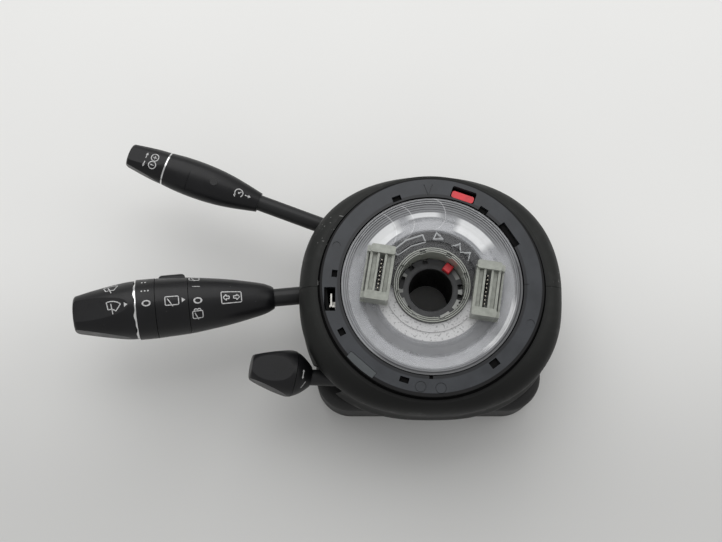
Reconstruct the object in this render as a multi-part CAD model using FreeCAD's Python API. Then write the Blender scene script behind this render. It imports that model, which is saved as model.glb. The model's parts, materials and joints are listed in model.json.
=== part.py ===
import FreeCAD, Part
import math
import os

# Steering column module: a clock spring in a flared collar, with three stalks on the left.
# Millimetres. The origin is on the steering axis, in the plane of the rear cover.
# +Z points to the driver, +Y is up on the column, and the stalks leave towards -X.

V = FreeCAD.Vector
X_AXIS = V(1, 0, 0)
Y_AXIS = V(0, 1, 0)
Z_AXIS = V(0, 0, 1)
CENTRE = V(0, 0, 0)

# Fits and gaps
running_fit = 0.06
press_fit = 0.05
seat_gap = 0.3
slide_gap = 0.15

# Levels along the steering axis
cover_thick = 3.0
housing_depth = 27.0
switch_height = 18.0
plate_thick = 2.0
cassette_depth = 19.5
ring_thick = 2.5
ring_stand = 4.0
wall = 2.4
housing_top = cover_thick + housing_depth
pivot_height = housing_top + switch_height / 2
plate_under = housing_top + switch_height
plate_top = plate_under + plate_thick
ring_under = plate_top + cassette_depth
ring_face = ring_under + ring_thick

# Rear housing and its cover
housing_half_width = 63.5
housing_low = -62.0
housing_corner = 20.0
housing_edge_round = 5.0
housing_opening = 24.0
housing_lip = 4.0
rib_thick = 1.6
column_radius = 21.0
column_length = 16.0
column_slit = 3.0
bolt_spacing_x = 92.0
bolt_spacing_y = 80.0
bolt_centre_y = -10.0
bolt_hole = 2.75
bolt_boss = 6.0
bolt_boss_length = 8.0
cover_screw_hole = 1.5
cover_screw_head = 2.9
cover_screw_boss = 3.6
cover_screw_spots = ((56.5, 6.0), (-56.5, 6.0), (56.5, -30.0), (-56.5, -30.0), (0.0, 56.5), (0.0, -54.0))

# Circuit board, its parts and the plug sockets
board_height = 16.0
board_thick = 1.6
board_half_x = 46.0
board_half_y = 38.0
board_centre_y = -4.0
board_opening = 26.0
board_post = 3.0
board_post_inset = 5.0
board_hole = 1.5
socket_centre = 37.0
socket_width = 12.0
socket_length = 30.0
socket_wall = 1.2
socket_recess = 0.6
socket_pin = 0.7
socket_pin_length = 6.0
socket_pin_pitch = 3.0
socket_pin_columns = 8

# Sensor hub, its code disc and the bearing in the chassis
shaft_radius = 12.0
hub_wall = 2.5
hub_flange_radius = 17.6
hub_drop = 13.0
hub_low = 19.0
bearing_wall = 2.5
bearing_length = 8.0
retainer_width = 4.0
retainer_thick = 2.0
disc_radius = 27.5
disc_thick = 1.0
disc_height = 21.5
disc_windows = 24
tab_angle = 51.0
tab_width = 4.6
tab_length = 4.8
tab_height = 6.0
tab_travel = 2.5
tab_floor = 0.5
fork_gap = 1.0

# Clock spring cassette
ring_radius = 60.0
ring_opening = 49.2
ring_skirt = 1.4
ring_skirt_depth = 6.0
skirt_gap = 0.6
coil_wall = 1.6
pan_wall = 1.8
pan_hub_gap = 0.6
pan_ribs = 16
pan_rib_height = 12.0
ribbon_thick = 0.4
ribbon_height = 14.5
ribbon_turns = 10

# Face of the ring: latch windows, lock window and marks, all by centre and size
ring_slots = ((-18.5, 48.2, 5.0, 3.0), (28.6, 41.5, 5.0, 3.0), (42.1, 27.6, 14.8, 3.8),
              (32.0, -42.5, 5.0, 4.0), (-15.4, -51.2, 5.0, 3.0), (-48.2, -25.7, 4.0, 3.5),
              (-52.2, 6.1, 4.0, 3.0))
lock_angle = 70.4
lock_radius = 53.4
lock_window_length = 13.6
lock_window_width = 6.6
lock_bar_length = 12.4
lock_bar_width = 3.8
lock_travel = 2.0
side_window = (-54.7, -7.9, 6.0, 13.0)
plate_spot = (-37.9, -43.5, 18.0, 4.5)
plate_depth = 0.6
plate_gap = 0.25
hook_drop = 1.9
ejector_marks = ((51.7, -21.3, 2.25), (-51.2, 21.6, 2.25))
dial_marks = ((3.7, -55.7, 3.0), (-6.9, -54.9, 3.0))
groove_width = 0.5
zero_mark_length = 2.4
edge_notch_depth = 1.6
edge_notch_half = 1.0
edge_notch_angle = -91.5
groove_depth = 0.4
ring_seam = 100.0

# Clear rotor
rotor_gap = 0.6
rotor_wall = 1.6
rotor_hub_inner = 18.0
rotor_hub_outer = 20.6
rotor_floor_edge = 30.4
rotor_floor_drop = 2.6
rotor_rim_drop = 0.8
rotor_rim_width = 3.2
rotor_dish_depth = 1.2
rotor_lip = 2.7
drum_radius = 25.6
drum_bottom_gap = 1.6
film_thick = 0.4
floor_rib_angles = range(24, 81, 8)

# Connector towers on the rotor
tower_radius = 28.4
tower_turn = -9.0
tower_half_length = 15.0
tower_inner = 6.5
tower_outer = 8.5
tower_height = 11.5
tower_wall_height = 9.5
tower_slot = 2.8
tower_pillar = 4.5
tower_pad = 1.4
pin_size = 0.6
pin_pitch = 2.2
pin_count = 8
pin_height = 7.5

# Collar
collar_gap = 1.4
collar_rear_gap = 1.0
collar_half_x = 72.0
collar_half_y = 66.5
collar_shift = -1.5
collar_power = 2.3
collar_rear_draw_x = 1.6
collar_rear_draw_y = 1.3
collar_widest = 24.0
collar_points = 24
collar_seam = 0.2
flange_thick = 1.6
flange_overlap = 1.0
arm_width = 9.0
arm_thick = 3.0
arm_height = 40.0
arm_end_gap = 1.0
upper_arm_angles = (20, 70, 118, 162)
lower_arm_angles = (-20, -60, -88, -160)
arm_screw = 1.2
arm_screw_head = 2.0

# Switch block, gimbal and detent of every stalk, in the frame of its pivot
block_back = 17.0
block_front = 9.0
block_half_width = 10.5
block_wall = 1.5
block_floor = 2.2
block_screw = 1.2
block_screw_head = 2.3
block_screw_sink = 1.4
block_screw_inset = 2.2
bay_gap = 1.15
gimbal_half_length = 6.0
gimbal_half_width = 7.6
gimbal_half_height = 6.4
gimbal_side = 2.6
gimbal_bar = 1.5
trunnion_radius = 2.0
cross_pin_radius = 1.8
lever_neck = 3.4
tail_length = 11.5
tail_radius = 2.6
plunger_radius = 1.6
plunger_reach = 14.2
stalk_lean = 5.5
slot_margin = 0.9

# Cruise stalk, distances from its pivot
cruise_rod = 4.5
cruise_root = 62.0
cruise_trim_at = 117.6
cruise_trim_width = 0.8
cruise_cap_at = cruise_trim_at + cruise_trim_width
cruise_tip = 140.5
cruise_flat = 0.86
cruise_travel = 2.0
cruise_grip_depth = 27.0
cruise_lamp_at = 89.2
cruise_lamp_radius = 2.2
cruise_lamp_level = 10.2
cruise_seam_at = 103.4
cruise_seam_width = 0.3
cruise_widest = 10.7
cruise_profile = ((cruise_root, 5.6), (cruise_root + 6, 6.9), (cruise_root + 16, 8.9),
                  (cruise_root + 26, 10.2), (cruise_root + 37, cruise_widest),
                  (cruise_trim_at - 8, 10.4), (cruise_trim_at, 9.6))
cruise_cap_profile = ((cruise_cap_at, 9.5), (cruise_cap_at + 8, 8.9), (cruise_cap_at + 15, 8.1),
                      (cruise_tip, 7.1))

# Combination stalk
combi_rod = 5.0
combi_root = 49.0
combi_rod_end = 90.0
rear_ring_at = 95.5
mark_ring_at = 113.6
mark_ring_end = 123.6
knob_tip = 158.0
core_clear = 17.0
spindle_clear = 15.0
tab_reach = 18.2
tab_half = 3.6
tab_round = 3.0
core_radius = 3.5
stub_radius = 8.0
mark_seat_radius = 7.0
trim_width = 1.2
knob_radius = 16.0
mark_radius = 16.6
knob_travel = 2.5
knob_overlap = 0.5
spindle_radius = 6.0
spindle_key = 2.0
combi_profile = ((combi_root, 5.9), (combi_root + 4.5, 8.2), (combi_root + 11, 9.9), (combi_root + 19, 11.6),
                 (combi_root + 33, 13.9), (rear_ring_at, 15.6))

# Column adjuster stalk
adjuster_rod = 4.4
adjuster_bend_at = 41.5
adjuster_skew = -6.0
adjuster_rise = 8.0
adjuster_base_start = 2.0
adjuster_seam = 11.3
adjuster_tip = 35.2
adjuster_core_end = 28.0
adjuster_radius = 12.8

# Places and directions of the stalks
cruise = {"pivot": (-38.1, 34.3), "angle": 160.6, "rod": cruise_rod, "exit": 27.0,
          "swing": 6.0, "pull": 5.0}
combi = {"pivot": (-38.3, 4.8), "angle": 186.6, "rod": combi_rod, "exit": 35.0,
         "swing": 7.0, "pull": 5.0}
adjuster = {"pivot": (-22.8, -46.7), "angle": 178.5, "rod": adjuster_rod, "exit": 33.0,
            "swing": 4.0, "pull": 4.0}
stalks = {"cruise": cruise, "combi": combi, "adjuster": adjuster}


def tube(inner, outer, bottom, top):
    """An upright tube or disc on the steering axis."""
    solid = Part.makeCylinder(outer, top - bottom, V(0, 0, bottom))
    if inner > 0:
        solid = solid.cut(Part.makeCylinder(inner, top - bottom, V(0, 0, bottom)))
    return solid


def box(x0, x1, y0, y1, z0, z1):
    """A box between two corners."""
    return Part.makeBox(x1 - x0, y1 - y0, z1 - z0, V(x0, y0, z0))


def post(radius, x, y, z0, z1):
    """An upright cylinder anywhere."""
    return Part.makeCylinder(radius, z1 - z0, V(x, y, z0))


def turned(shape, degrees):
    """A copy turned about the steering axis."""
    copy = shape.copy()
    copy.rotate(CENTRE, Z_AXIS, degrees)
    return copy


def polar_box(radius0, radius1, half_width, angle, z0, z1):
    """A box that lies along a radius of the steering axis."""
    return turned(box(radius0, radius1, -half_width, half_width, z0, z1), angle)


def fused(shapes):
    """All shapes as one solid."""
    first = shapes[0]
    rest = shapes[1:]
    return first.fuse(rest).removeSplitter() if rest else first


def lathe(points):
    """A solid of revolution about the steering axis from (radius, height) corners."""
    corners = [V(r, 0, z) for r, z in points]
    face = Part.Face(Part.makePolygon(corners + corners[:1]))
    return face.revolve(CENTRE, Z_AXIS, 360)


def grip(profile, start, end, bore=0.0):
    """A handle form turned about X: a smooth profile of (x, radius) points, closed flat at both ends."""
    curve = Part.BSplineCurve()
    curve.interpolate([V(x, 0, r) for x, r in profile])
    edges = [curve.toShape()]
    corners = [V(end, 0, profile[-1][1]), V(end, 0, 0), V(start, 0, 0), V(start, 0, profile[0][1])]
    for a, b in zip(corners[:-1], corners[1:]):
        edges.append(Part.makeLine(a, b))
    solid = Part.Face(Part.Wire(edges)).revolve(CENTRE, X_AXIS, 360)
    if bore > 0:
        solid = solid.cut(rod(bore, start, end))
    return solid


def rod(radius, x0, x1):
    """A cylinder along X."""
    return Part.makeCylinder(radius, x1 - x0, V(x0, 0, 0), X_AXIS)


def faceted(solid, x0, half0, x1, half1):
    """Four soft flats that close in towards the tip of a knob."""
    wires = []
    for x, half in ((x0, half0), (x1, half1)):
        corners = [V(x, half, half), V(x, -half, half), V(x, -half, -half), V(x, half, -half)]
        wires.append(Part.makePolygon(corners + corners[:1]))
    return solid.common(Part.makeLoft(wires, True, True))


def tip_rounded(solid, x, radius):
    """Rounds the outer edge of a knob at its tip."""
    edges = [e for e in solid.Edges if e.BoundBox.XMin > x - 0.6]
    return solid.makeFillet(radius, edges)


def stalk_place(stalk, lean=0.0):
    """The frame of a stalk: X runs out along it, Z stays up, and lean lifts its far end."""
    turn = FreeCAD.Rotation(Z_AXIS, stalk["angle"])
    rise = FreeCAD.Rotation(Y_AXIS, -lean)
    x, y = stalk["pivot"]
    return FreeCAD.Placement(V(x, y, pivot_height), turn.multiply(rise))


def placed(shape, placement):
    """A copy moved by a placement."""
    copy = shape.copy()
    copy.Placement = placement.multiply(copy.Placement)
    return copy


def rounded_outline(inset, height):
    """The outline of the rear housing, an arch above two square feet, moved in by an inset."""
    half = housing_half_width - inset
    low = housing_low + inset
    corner = housing_corner - inset
    spots = ((0, 0, half, 0, 180), (corner - half, low + corner, corner, 180, 270),
             (half - corner, low + corner, corner, 270, 360))
    arcs = []
    for x, y, radius, start, end in spots:
        circle = Part.Circle(V(x, y, height), Z_AXIS, radius)
        arcs.append(Part.Arc(circle, math.radians(start), math.radians(end)).toShape())
    edges = []
    for arc, following in zip(arcs, arcs[1:] + arcs[:1]):
        edges.append(arc)
        edges.append(Part.makeLine(arc.Vertexes[-1].Point, following.Vertexes[0].Point))
    return Part.Wire(edges)


def rounded_block(inset, z0, z1):
    """A block with the outline of the rear housing."""
    return Part.Face(rounded_outline(inset, z0)).extrude(V(0, 0, z1 - z0))


def soft_block(inset, z0, z1, edge):
    """The same block with its front edge rounded."""
    solid = rounded_block(inset, z0, z1)
    edges = [e for e in solid.Edges if e.BoundBox.ZMin > z1 - 0.01]
    return solid.makeFillet(edge, edges)


def bolt_spots():
    """Centres of the four mounting bolts."""
    half_x = bolt_spacing_x / 2
    half_y = bolt_spacing_y / 2
    return [(i * half_x, bolt_centre_y + j * half_y) for i in (-1, 1) for j in (-1, 1)]


def board_spots():
    """Centres of the four posts that carry the circuit board."""
    x = board_half_x - board_post_inset
    y = board_half_y - board_post_inset
    return [(i * x, board_centre_y + j * y) for i in (-1, 1) for j in (-1, 1)]


def socket_boxes(inset, z0, z1):
    """One upright box at each of the two plug sockets."""
    half_x = socket_width / 2 - inset
    half_y = socket_length / 2 - inset
    return [box(side * socket_centre - half_x, side * socket_centre + half_x, -half_y, half_y, z0, z1)
            for side in (-1, 1)]


def rear_housing():
    """Moulded box behind the stalks, open at the back, with ribs, screw bosses and a centre opening."""
    shell = soft_block(0, cover_thick, housing_top, housing_edge_round)
    shell = shell.cut(soft_block(wall, cover_thick, housing_top - wall, housing_edge_round - wall))
    parts = [shell, tube(0, housing_opening + wall, housing_top - housing_lip, housing_top)]
    rib_low = housing_top - housing_lip
    long_rib = box(-housing_half_width + wall / 2, housing_half_width - wall / 2,
                   -rib_thick / 2, rib_thick / 2, rib_low, housing_top - wall / 2)
    for angle in (0, 42, 138):
        rib = turned(long_rib, angle)
        parts.append(rib.common(rounded_block(wall / 2, rib_low, housing_top - wall / 2)))
    for x, y in cover_screw_spots:
        parts.append(post(cover_screw_boss, x, y, cover_thick, housing_top - wall / 2))
    body = fused(parts)
    body = body.cut(tube(0, housing_opening, cover_thick, housing_top))
    for x, y in cover_screw_spots:
        body = body.cut(post(cover_screw_hole + press_fit, x, y, cover_thick, cover_thick + 14))
    return body


def rear_cover():
    """Back plate with the column sleeve, bolt bosses, board posts and openings for the plugs."""
    plate = rounded_block(0, 0, cover_thick)
    rim = rounded_block(wall + slide_gap, cover_thick, cover_thick + 2)
    rim = rim.cut(rounded_block(2 * wall + slide_gap, cover_thick, cover_thick + 2))
    for x, y in cover_screw_spots:
        rim = rim.cut(post(cover_screw_boss + slide_gap, x, y, cover_thick, cover_thick + 2))
    parts = [plate, rim, tube(0, column_radius + wall, 0, column_length)]
    for x, y in bolt_spots():
        parts.append(post(bolt_boss, x, y, 0, cover_thick + bolt_boss_length))
    for x, y in board_spots():
        parts.append(post(board_post, x, y, 0, board_height))
    for angle in range(0, 360, 45):
        parts.append(polar_box(column_radius + wall / 2, column_radius + wall + 4, rib_thick / 2, angle,
                               cover_thick / 2, column_length / 2))
    body = fused(parts)
    body = body.cut(tube(0, column_radius, 0, column_length))
    for angle in (90, 270):
        body = body.cut(polar_box(column_radius - 1, column_radius + wall + 1, column_slit / 2, angle,
                                  column_length * 0.6, column_length))
    for x, y in bolt_spots():
        body = body.cut(post(bolt_hole, x, y, 0, cover_thick + bolt_boss_length))
    for x, y in cover_screw_spots:
        body = body.cut(post(cover_screw_hole + press_fit, x, y, 0, cover_thick))
        body = body.cut(post(cover_screw_head + slide_gap, x, y, 0, cover_thick - 0.8))
    for opening in socket_boxes(-slide_gap, 0, cover_thick):
        body = body.cut(opening)
    return body


def cover_screws():
    """Screws that hold the cover from behind."""
    screws = []
    for x, y in cover_screw_spots:
        head = post(cover_screw_head, x, y, 0.3, cover_thick - 0.8)
        recess = post(cover_screw_hole * 0.6, x, y, 0.3, 1.3)
        shank = post(cover_screw_hole, x, y, cover_thick - 0.8, cover_thick + 12)
        screws.append(head.cut(recess).fuse(shank).removeSplitter())
    return Part.makeCompound(screws)


def circuit_board():
    """Printed board round the column, screwed to the posts of the cover."""
    body = box(-board_half_x, board_half_x, board_centre_y - board_half_y, board_centre_y + board_half_y,
               board_height, board_height + board_thick)
    corners = [e for e in body.Edges if abs(e.BoundBox.ZLength - board_thick) < 0.01]
    body = body.makeFillet(board_post, corners)
    body = body.cut(tube(0, board_opening, board_height, board_height + board_thick))
    for x, y in board_spots():
        body = body.cut(post(board_hole, x, y, board_height, board_height + board_thick))
    return body


def board_components():
    """Chips, capacitors and relays on the front face of the board."""
    level = board_height + board_thick
    # Chips and relays: both x, both y and height of each
    blocks = [(-43, -31, -8, 8, 1.8), (-42, -33, 18, 27, 1.5), (12, 22, -38, -30, 4), (-24, -12, -38, -29, 4)]
    # Small flat parts beside the chips
    blocks += [(-41, -37, y, y + 3, 1.2) for y in (-24, -18, -12)]
    capacitor_radius = 2.5
    capacitor_height = 5
    capacitor_row = 30
    parts = [box(x0, x1, y0, y1, level, level + height) for x0, x1, y0, y1, height in blocks]
    parts += [post(capacitor_radius, x, capacitor_row, level, level + capacitor_height) for x in (-10, -2, 6, 14)]
    return Part.makeCompound(parts)


def sensor_fork():
    """Light gate that straddles the rim of the code disc."""
    level = board_height + board_thick
    half = 5
    overlap = 3.5
    rim_gap = 1.5
    back = 6
    roof = 1.4
    near = disc_radius - overlap
    upper = disc_height + disc_thick + fork_gap
    body = box(near, disc_radius + back, -half, half, level, upper + roof)
    return body.cut(box(near, disc_radius + rim_gap, -half, half, disc_height - fork_gap, upper))


def harness_sockets():
    """Two plug sockets that hang from the board and open to the rear."""
    sockets = []
    for outer, inner in zip(socket_boxes(0, socket_recess, board_height),
                            socket_boxes(socket_wall, socket_recess, board_height - 2)):
        sockets.append(outer.cut(inner))
    return Part.makeCompound(sockets)


def harness_pins():
    """Two rows of contacts in each socket."""
    pins = []
    top = board_height - 2
    for side in (-1, 1):
        for row in (-1, 1):
            for column in range(socket_pin_columns):
                x = side * socket_centre + row * socket_pin_pitch / 2
                y = (column - (socket_pin_columns - 1) / 2) * socket_pin_pitch
                pins.append(box(x - socket_pin / 2, x + socket_pin / 2, y - socket_pin / 2,
                                y + socket_pin / 2, top - socket_pin_length, top))
    return Part.makeCompound(pins)


def block_screw_spots():
    """Places of the two screws behind every switch block."""
    spots = []
    for stalk in stalks.values():
        place = stalk_place(stalk)
        for side in (-1, 1):
            spots.append(place.multVec(V(block_screw_inset - block_back,
                                         side * (block_half_width - block_screw_inset), 0)))
    return spots


def switch_bay(reach):
    """Free space round a switch block, out to a distance from its pivot."""
    half = block_half_width + bay_gap
    return box(-block_back - 2 * bay_gap, reach, -half, half, -switch_height / 2, switch_height / 2)


def main_chassis():
    """Carrier plate with the rotor bearing, a skirt round the switch bays and arms for the collar."""
    outer = ring_radius - ring_skirt - skirt_gap
    bearing = shaft_radius + hub_wall + running_fit
    skirt = tube(outer - wall, outer, housing_top, plate_under)
    for stalk in stalks.values():
        skirt = skirt.cut(placed(switch_bay(outer), stalk_place(stalk)))
    parts = [tube(0, outer, plate_under, plate_top), skirt,
             tube(0, bearing + bearing_wall, plate_under - bearing_length, plate_under)]
    for angle in upper_arm_angles + lower_arm_angles:
        parts.append(polar_box(outer - wall / 2, arm_reach(angle), arm_width / 2, angle,
                               arm_height, arm_height + arm_thick))
    body = fused(parts)
    body = body.cut(tube(0, bearing, plate_under - bearing_length, plate_top))
    for spot in block_screw_spots():
        body = body.cut(post(block_screw + press_fit, spot.x, spot.y, plate_under, plate_top))
        sink = plate_top - block_screw_sink
        body = body.cut(post(block_screw_head + slide_gap, spot.x, spot.y, sink, plate_top))
    for angle in upper_arm_angles + lower_arm_angles:
        x, y = arm_screw_spot(angle)
        body = body.cut(post(arm_screw + press_fit, x, y, arm_height, arm_height + arm_thick))
    return body


def arm_reach(angle):
    """Radius at which a collar arm ends, just inside the wall of the collar."""
    half_x = collar_half_x - collar_rear_draw_x - wall
    half_y = collar_half_y - collar_rear_draw_y - wall
    c = abs(math.cos(math.radians(angle))) / half_x
    s = abs(math.sin(math.radians(angle))) / half_y
    inside = (c ** collar_power + s ** collar_power) ** (-1 / collar_power)
    return inside + collar_shift * math.sin(math.radians(angle)) - arm_end_gap


def arm_screw_spot(angle):
    """Centre of the screw in a collar arm."""
    radius = (ring_radius - ring_skirt + arm_reach(angle)) / 2
    return radius * math.cos(math.radians(angle)), radius * math.sin(math.radians(angle))


def chassis_screws():
    """Screws from the chassis plate down into the switch blocks."""
    screws = []
    for spot in block_screw_spots():
        head = post(block_screw_head, spot.x, spot.y, plate_top - block_screw_sink, plate_top - 0.1)
        shank = post(block_screw, spot.x, spot.y, plate_under - 7, plate_top - block_screw_sink)
        screws.append(head.fuse(shank).removeSplitter())
    return Part.makeCompound(screws)


def collar_screws():
    """Screws that hold the collar lugs to the arms from behind."""
    screws = []
    for angle in upper_arm_angles + lower_arm_angles:
        x, y = arm_screw_spot(angle)
        head = post(arm_screw_head, x, y, arm_height - 1.8, arm_height)
        shank = post(arm_screw, x, y, arm_height, arm_height + 2 * arm_thick - 0.5)
        screws.append(head.fuse(shank).removeSplitter())
    return Part.makeCompound(screws)


def collar_wire(half_x, half_y, shift, power, height):
    """One closed section of the collar, a soft square that may be a plain circle."""
    points = []
    for step in range(collar_points):
        angle = 2 * math.pi * step / collar_points
        c = math.cos(angle)
        s = math.sin(angle)
        radius = (abs(c / half_x) ** power + abs(s / half_y) ** power) ** (-1 / power)
        points.append(V(radius * c, shift + radius * s, height))
    curve = Part.BSplineCurve()
    curve.interpolate(points, PeriodicFlag=True)
    return Part.Wire(curve.toShape())


def collar_form(inset, rear, lip):
    """The flared form of the collar, moved in by an inset."""
    widest = housing_top + collar_rear_gap + collar_widest
    rise = lip - widest
    opening = ring_radius + collar_gap
    half_x = collar_half_x - inset
    half_y = collar_half_y - inset
    sections = ((half_x - collar_rear_draw_x, half_y - collar_rear_draw_y, collar_shift, collar_power, rear),
                (half_x - 0.4, half_y - 0.3, collar_shift, collar_power, (rear + widest) / 2),
                (half_x, half_y, collar_shift, collar_power, widest),
                (half_x - 1.2, half_y - 0.9, collar_shift, collar_power, widest + 0.5 * rise),
                (half_x - 4.2, half_y - 2.6, 0.6 * collar_shift, 2.15, widest + 0.84 * rise),
                (opening + 2.2 - inset, opening + 1.4 - inset, 0.15 * collar_shift, 2.0, lip))
    return Part.makeLoft([collar_wire(*section) for section in sections], True, False)


def collar_whole():
    """The collar before it is split: shell, opening for the ring, stalk slots and lugs."""
    rear = housing_top + collar_rear_gap
    lip = ring_face - ring_stand
    outer = collar_form(0, rear, lip)
    inner = collar_form(wall, rear - 1, lip - wall)
    shell = outer.cut(inner)
    shell = shell.cut(tube(0, ring_radius + collar_gap, rear - 1, lip + 1))
    flange = tube(housing_half_width - flange_overlap, 2 * collar_half_x, rear, rear + flange_thick)
    flange = flange.common(outer)
    for stalk in stalks.values():
        flange = flange.cut(placed(switch_bay(block_front + bay_gap), stalk_place(stalk)))
    shell = shell.fuse(flange)
    lug_low = arm_height + arm_thick
    lug_start = ring_radius - ring_skirt
    for angle in upper_arm_angles + lower_arm_angles:
        lug = polar_box(lug_start, collar_half_x + 5, arm_width / 2, angle,
                        lug_low, lug_low + arm_thick)
        x, y = arm_screw_spot(angle)
        lug = lug.common(outer).cut(post(arm_screw + press_fit, x, y, lug_low, lug_low + arm_thick))
        shell = shell.fuse(lug)
    for stalk in stalks.values():
        shell = shell.cut(stalk_slot(stalk))
    return shell


def stalk_slot(stalk):
    """The way of a stalk out of the collar, as wide and as high as its swing needs."""
    reach = stalk["exit"]
    half = reach * math.sin(math.radians(stalk["swing"])) + stalk["rod"] + slot_margin
    top = reach * math.sin(math.radians(stalk_lean + stalk["pull"])) + stalk["rod"] + slot_margin
    start = block_front + 1
    slot = box(start, 60, -half, half, -switch_height, top)
    ends = [e for e in slot.Edges if abs(e.BoundBox.XLength - 60 + start) < 0.01 and e.BoundBox.ZMin > 0]
    return placed(slot.makeFillet(3, ends), stalk_place(stalk))


def collar_halves():
    """The two halves of the collar, above and below the seam."""
    reach = 2 * collar_half_x
    whole = collar_whole()
    upper = whole.common(box(-reach, reach, collar_seam / 2, reach, 0, ring_face))
    lower = whole.common(box(-reach, reach, -reach, -collar_seam / 2, 0, ring_face))
    return upper.Solids[0], lower.Solids[0]


def along_ring(x, y, length, width, z0, z1):
    """A box centred on a spot of the ring, with its length along the ring."""
    radius = math.hypot(x, y)
    angle = math.degrees(math.atan2(y, x))
    return turned(box(radius - width / 2, radius + width / 2, -length / 2, length / 2, z0, z1), angle)


def plate_recess(inset, z0, z1):
    """The recess for the small plate, open to the outer edge of the ring, moved in by an inset."""
    x, y, length, width = plate_spot
    radius = math.hypot(x, y)
    angle = math.degrees(math.atan2(y, x))
    return polar_box(radius - width / 2 + inset, ring_radius + 1, length / 2 - inset, angle, z0, z1)


def stator_ring():
    """Flat face ring with its latch windows, lock window, marks and outer skirt."""
    body = tube(ring_opening, ring_radius, ring_under, ring_face)
    body = body.fuse(tube(ring_radius - ring_skirt, ring_radius, ring_under - ring_skirt_depth, ring_under))
    body = turned(body.removeSplitter(), ring_seam)
    for x, y, length, width in ring_slots:
        body = body.cut(along_ring(x, y, length, width, ring_under, ring_face))
    window = box(lock_radius - lock_window_width / 2, lock_radius + lock_window_width / 2,
                 -lock_window_length / 2, lock_window_length / 2, ring_under, ring_face)
    corners = [e for e in window.Edges if abs(e.BoundBox.ZLength - ring_thick) < 0.01]
    body = body.cut(turned(window.makeFillet(1.0, corners), lock_angle))
    x, y, width, length = side_window
    body = body.cut(box(x - width / 2, x + width / 2, y - length / 2, y + length / 2, ring_under, ring_face))
    body = body.cut(plate_recess(0, ring_face - plate_depth, ring_face))
    for x, y, radius in ejector_marks:
        body = body.cut(post(radius, x, y, ring_face - groove_depth, ring_face))
    for x, y, radius in dial_marks:
        mark = post(radius, x, y, ring_face - groove_depth, ring_face)
        body = body.cut(mark.cut(post(radius - groove_width, x, y, ring_face - groove_depth, ring_face)))
    for angle in (-20, 20):
        stroke = box(-groove_width / 2, groove_width / 2, 0, 6.8, ring_face - groove_depth, ring_face)
        stroke.rotate(CENTRE, Z_AXIS, angle)
        stroke.translate(V(-1.3, 49.8, 0))
        body = body.cut(stroke)
    body = body.cut(polar_box(ring_opening - 1, ring_opening + zero_mark_length, groove_width / 2, 0,
                              ring_face - groove_depth, ring_face))
    return body.cut(polar_box(ring_opening - 1, ring_opening + edge_notch_depth, edge_notch_half,
                              edge_notch_angle, ring_under, ring_face))


def stator_pan():
    """Cup of the clock spring: floor, coil wall, outer wall, ribs and the hooks that latch the ring."""
    outer = ring_radius - ring_skirt - skirt_gap
    hub = rotor_hub_outer + pan_hub_gap
    coil_outer = ring_opening + coil_wall
    floor_top = plate_top + plate_thick
    parts = [tube(hub, outer, plate_top, floor_top),
             tube(ring_opening, coil_outer, floor_top, ring_under),
             tube(outer - pan_wall, outer, floor_top, ring_under)]
    for step in range(pan_ribs):
        parts.append(polar_box(ring_opening + coil_wall / 2, outer - pan_wall / 2, 0.6,
                               360 * step / pan_ribs + 5, floor_top, floor_top + pan_rib_height))
    for x, y, length, width in ring_slots:
        radius = math.hypot(x, y)
        low = max(radius - width / 2 + seat_gap, ring_opening + seat_gap)
        hook = box(low, radius + width / 2 - seat_gap, seat_gap - length / 2, length / 2 - seat_gap,
                   floor_top, ring_face - hook_drop)
        parts.append(turned(hook, math.degrees(math.atan2(y, x))))
    body = fused(parts)
    return body.cut(lock_channel())


def lock_channel():
    """Free space that the centre lock slides in, cut out of the ribs of the pan."""
    coil_outer = ring_opening + coil_wall
    outer = ring_radius - ring_skirt - skirt_gap - pan_wall
    return polar_box(coil_outer, outer, lock_bar_length / 2 + seat_gap, lock_angle,
                     ring_under - 8, ring_under)


def ring_cover_plate():
    """Small snap-in plate in the face of the ring."""
    low = ring_face - plate_depth
    body = plate_recess(plate_gap, low, ring_face - press_fit)
    return body.common(tube(0, ring_radius - plate_gap, low, ring_face))


def lock_spring():
    """Bent steel leaf in the side window."""
    x, y, width, length = side_window
    inner = -ring_opening - coil_wall
    sheet = 0.8
    strip = 1.8
    low = ring_under - 6
    top = ring_face - sheet
    back = x + sheet / 2
    front = back + sheet
    near = y - 4
    leaf = box(back, inner - 1.0, near, y, low, low + sheet)
    upright = box(back, front, near, y, low, top)
    arm = box(back, front, near, y + 3, top - strip, top)
    foot = box(x - 0.2, x + 2.5, near, near + 1.2, low, top - strip)
    return fused([leaf, upright, arm, foot])


def centre_lock():
    """Red slider that blocks the rotor in transport, in the window at the top."""
    inner = lock_radius - lock_window_width / 2 + seat_gap
    bar = box(inner, inner + lock_bar_width, -lock_bar_length / 2, lock_bar_length / 2,
              ring_under + seat_gap, ring_face - 0.6)
    points = [e for e in bar.Edges
              if abs(e.BoundBox.ZLength - (ring_thick - seat_gap - 0.6)) < 0.01]
    bar = bar.makeFillet(1.2, points)
    coil_outer = ring_opening + coil_wall
    tongue = box(coil_outer + seat_gap, inner + lock_bar_width, -lock_bar_length / 2 + 2,
                 lock_bar_length / 2 - 2, ring_under - 7, ring_under + seat_gap + 0.2)
    return turned(bar.fuse(tongue).removeSplitter(), lock_angle)


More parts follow.
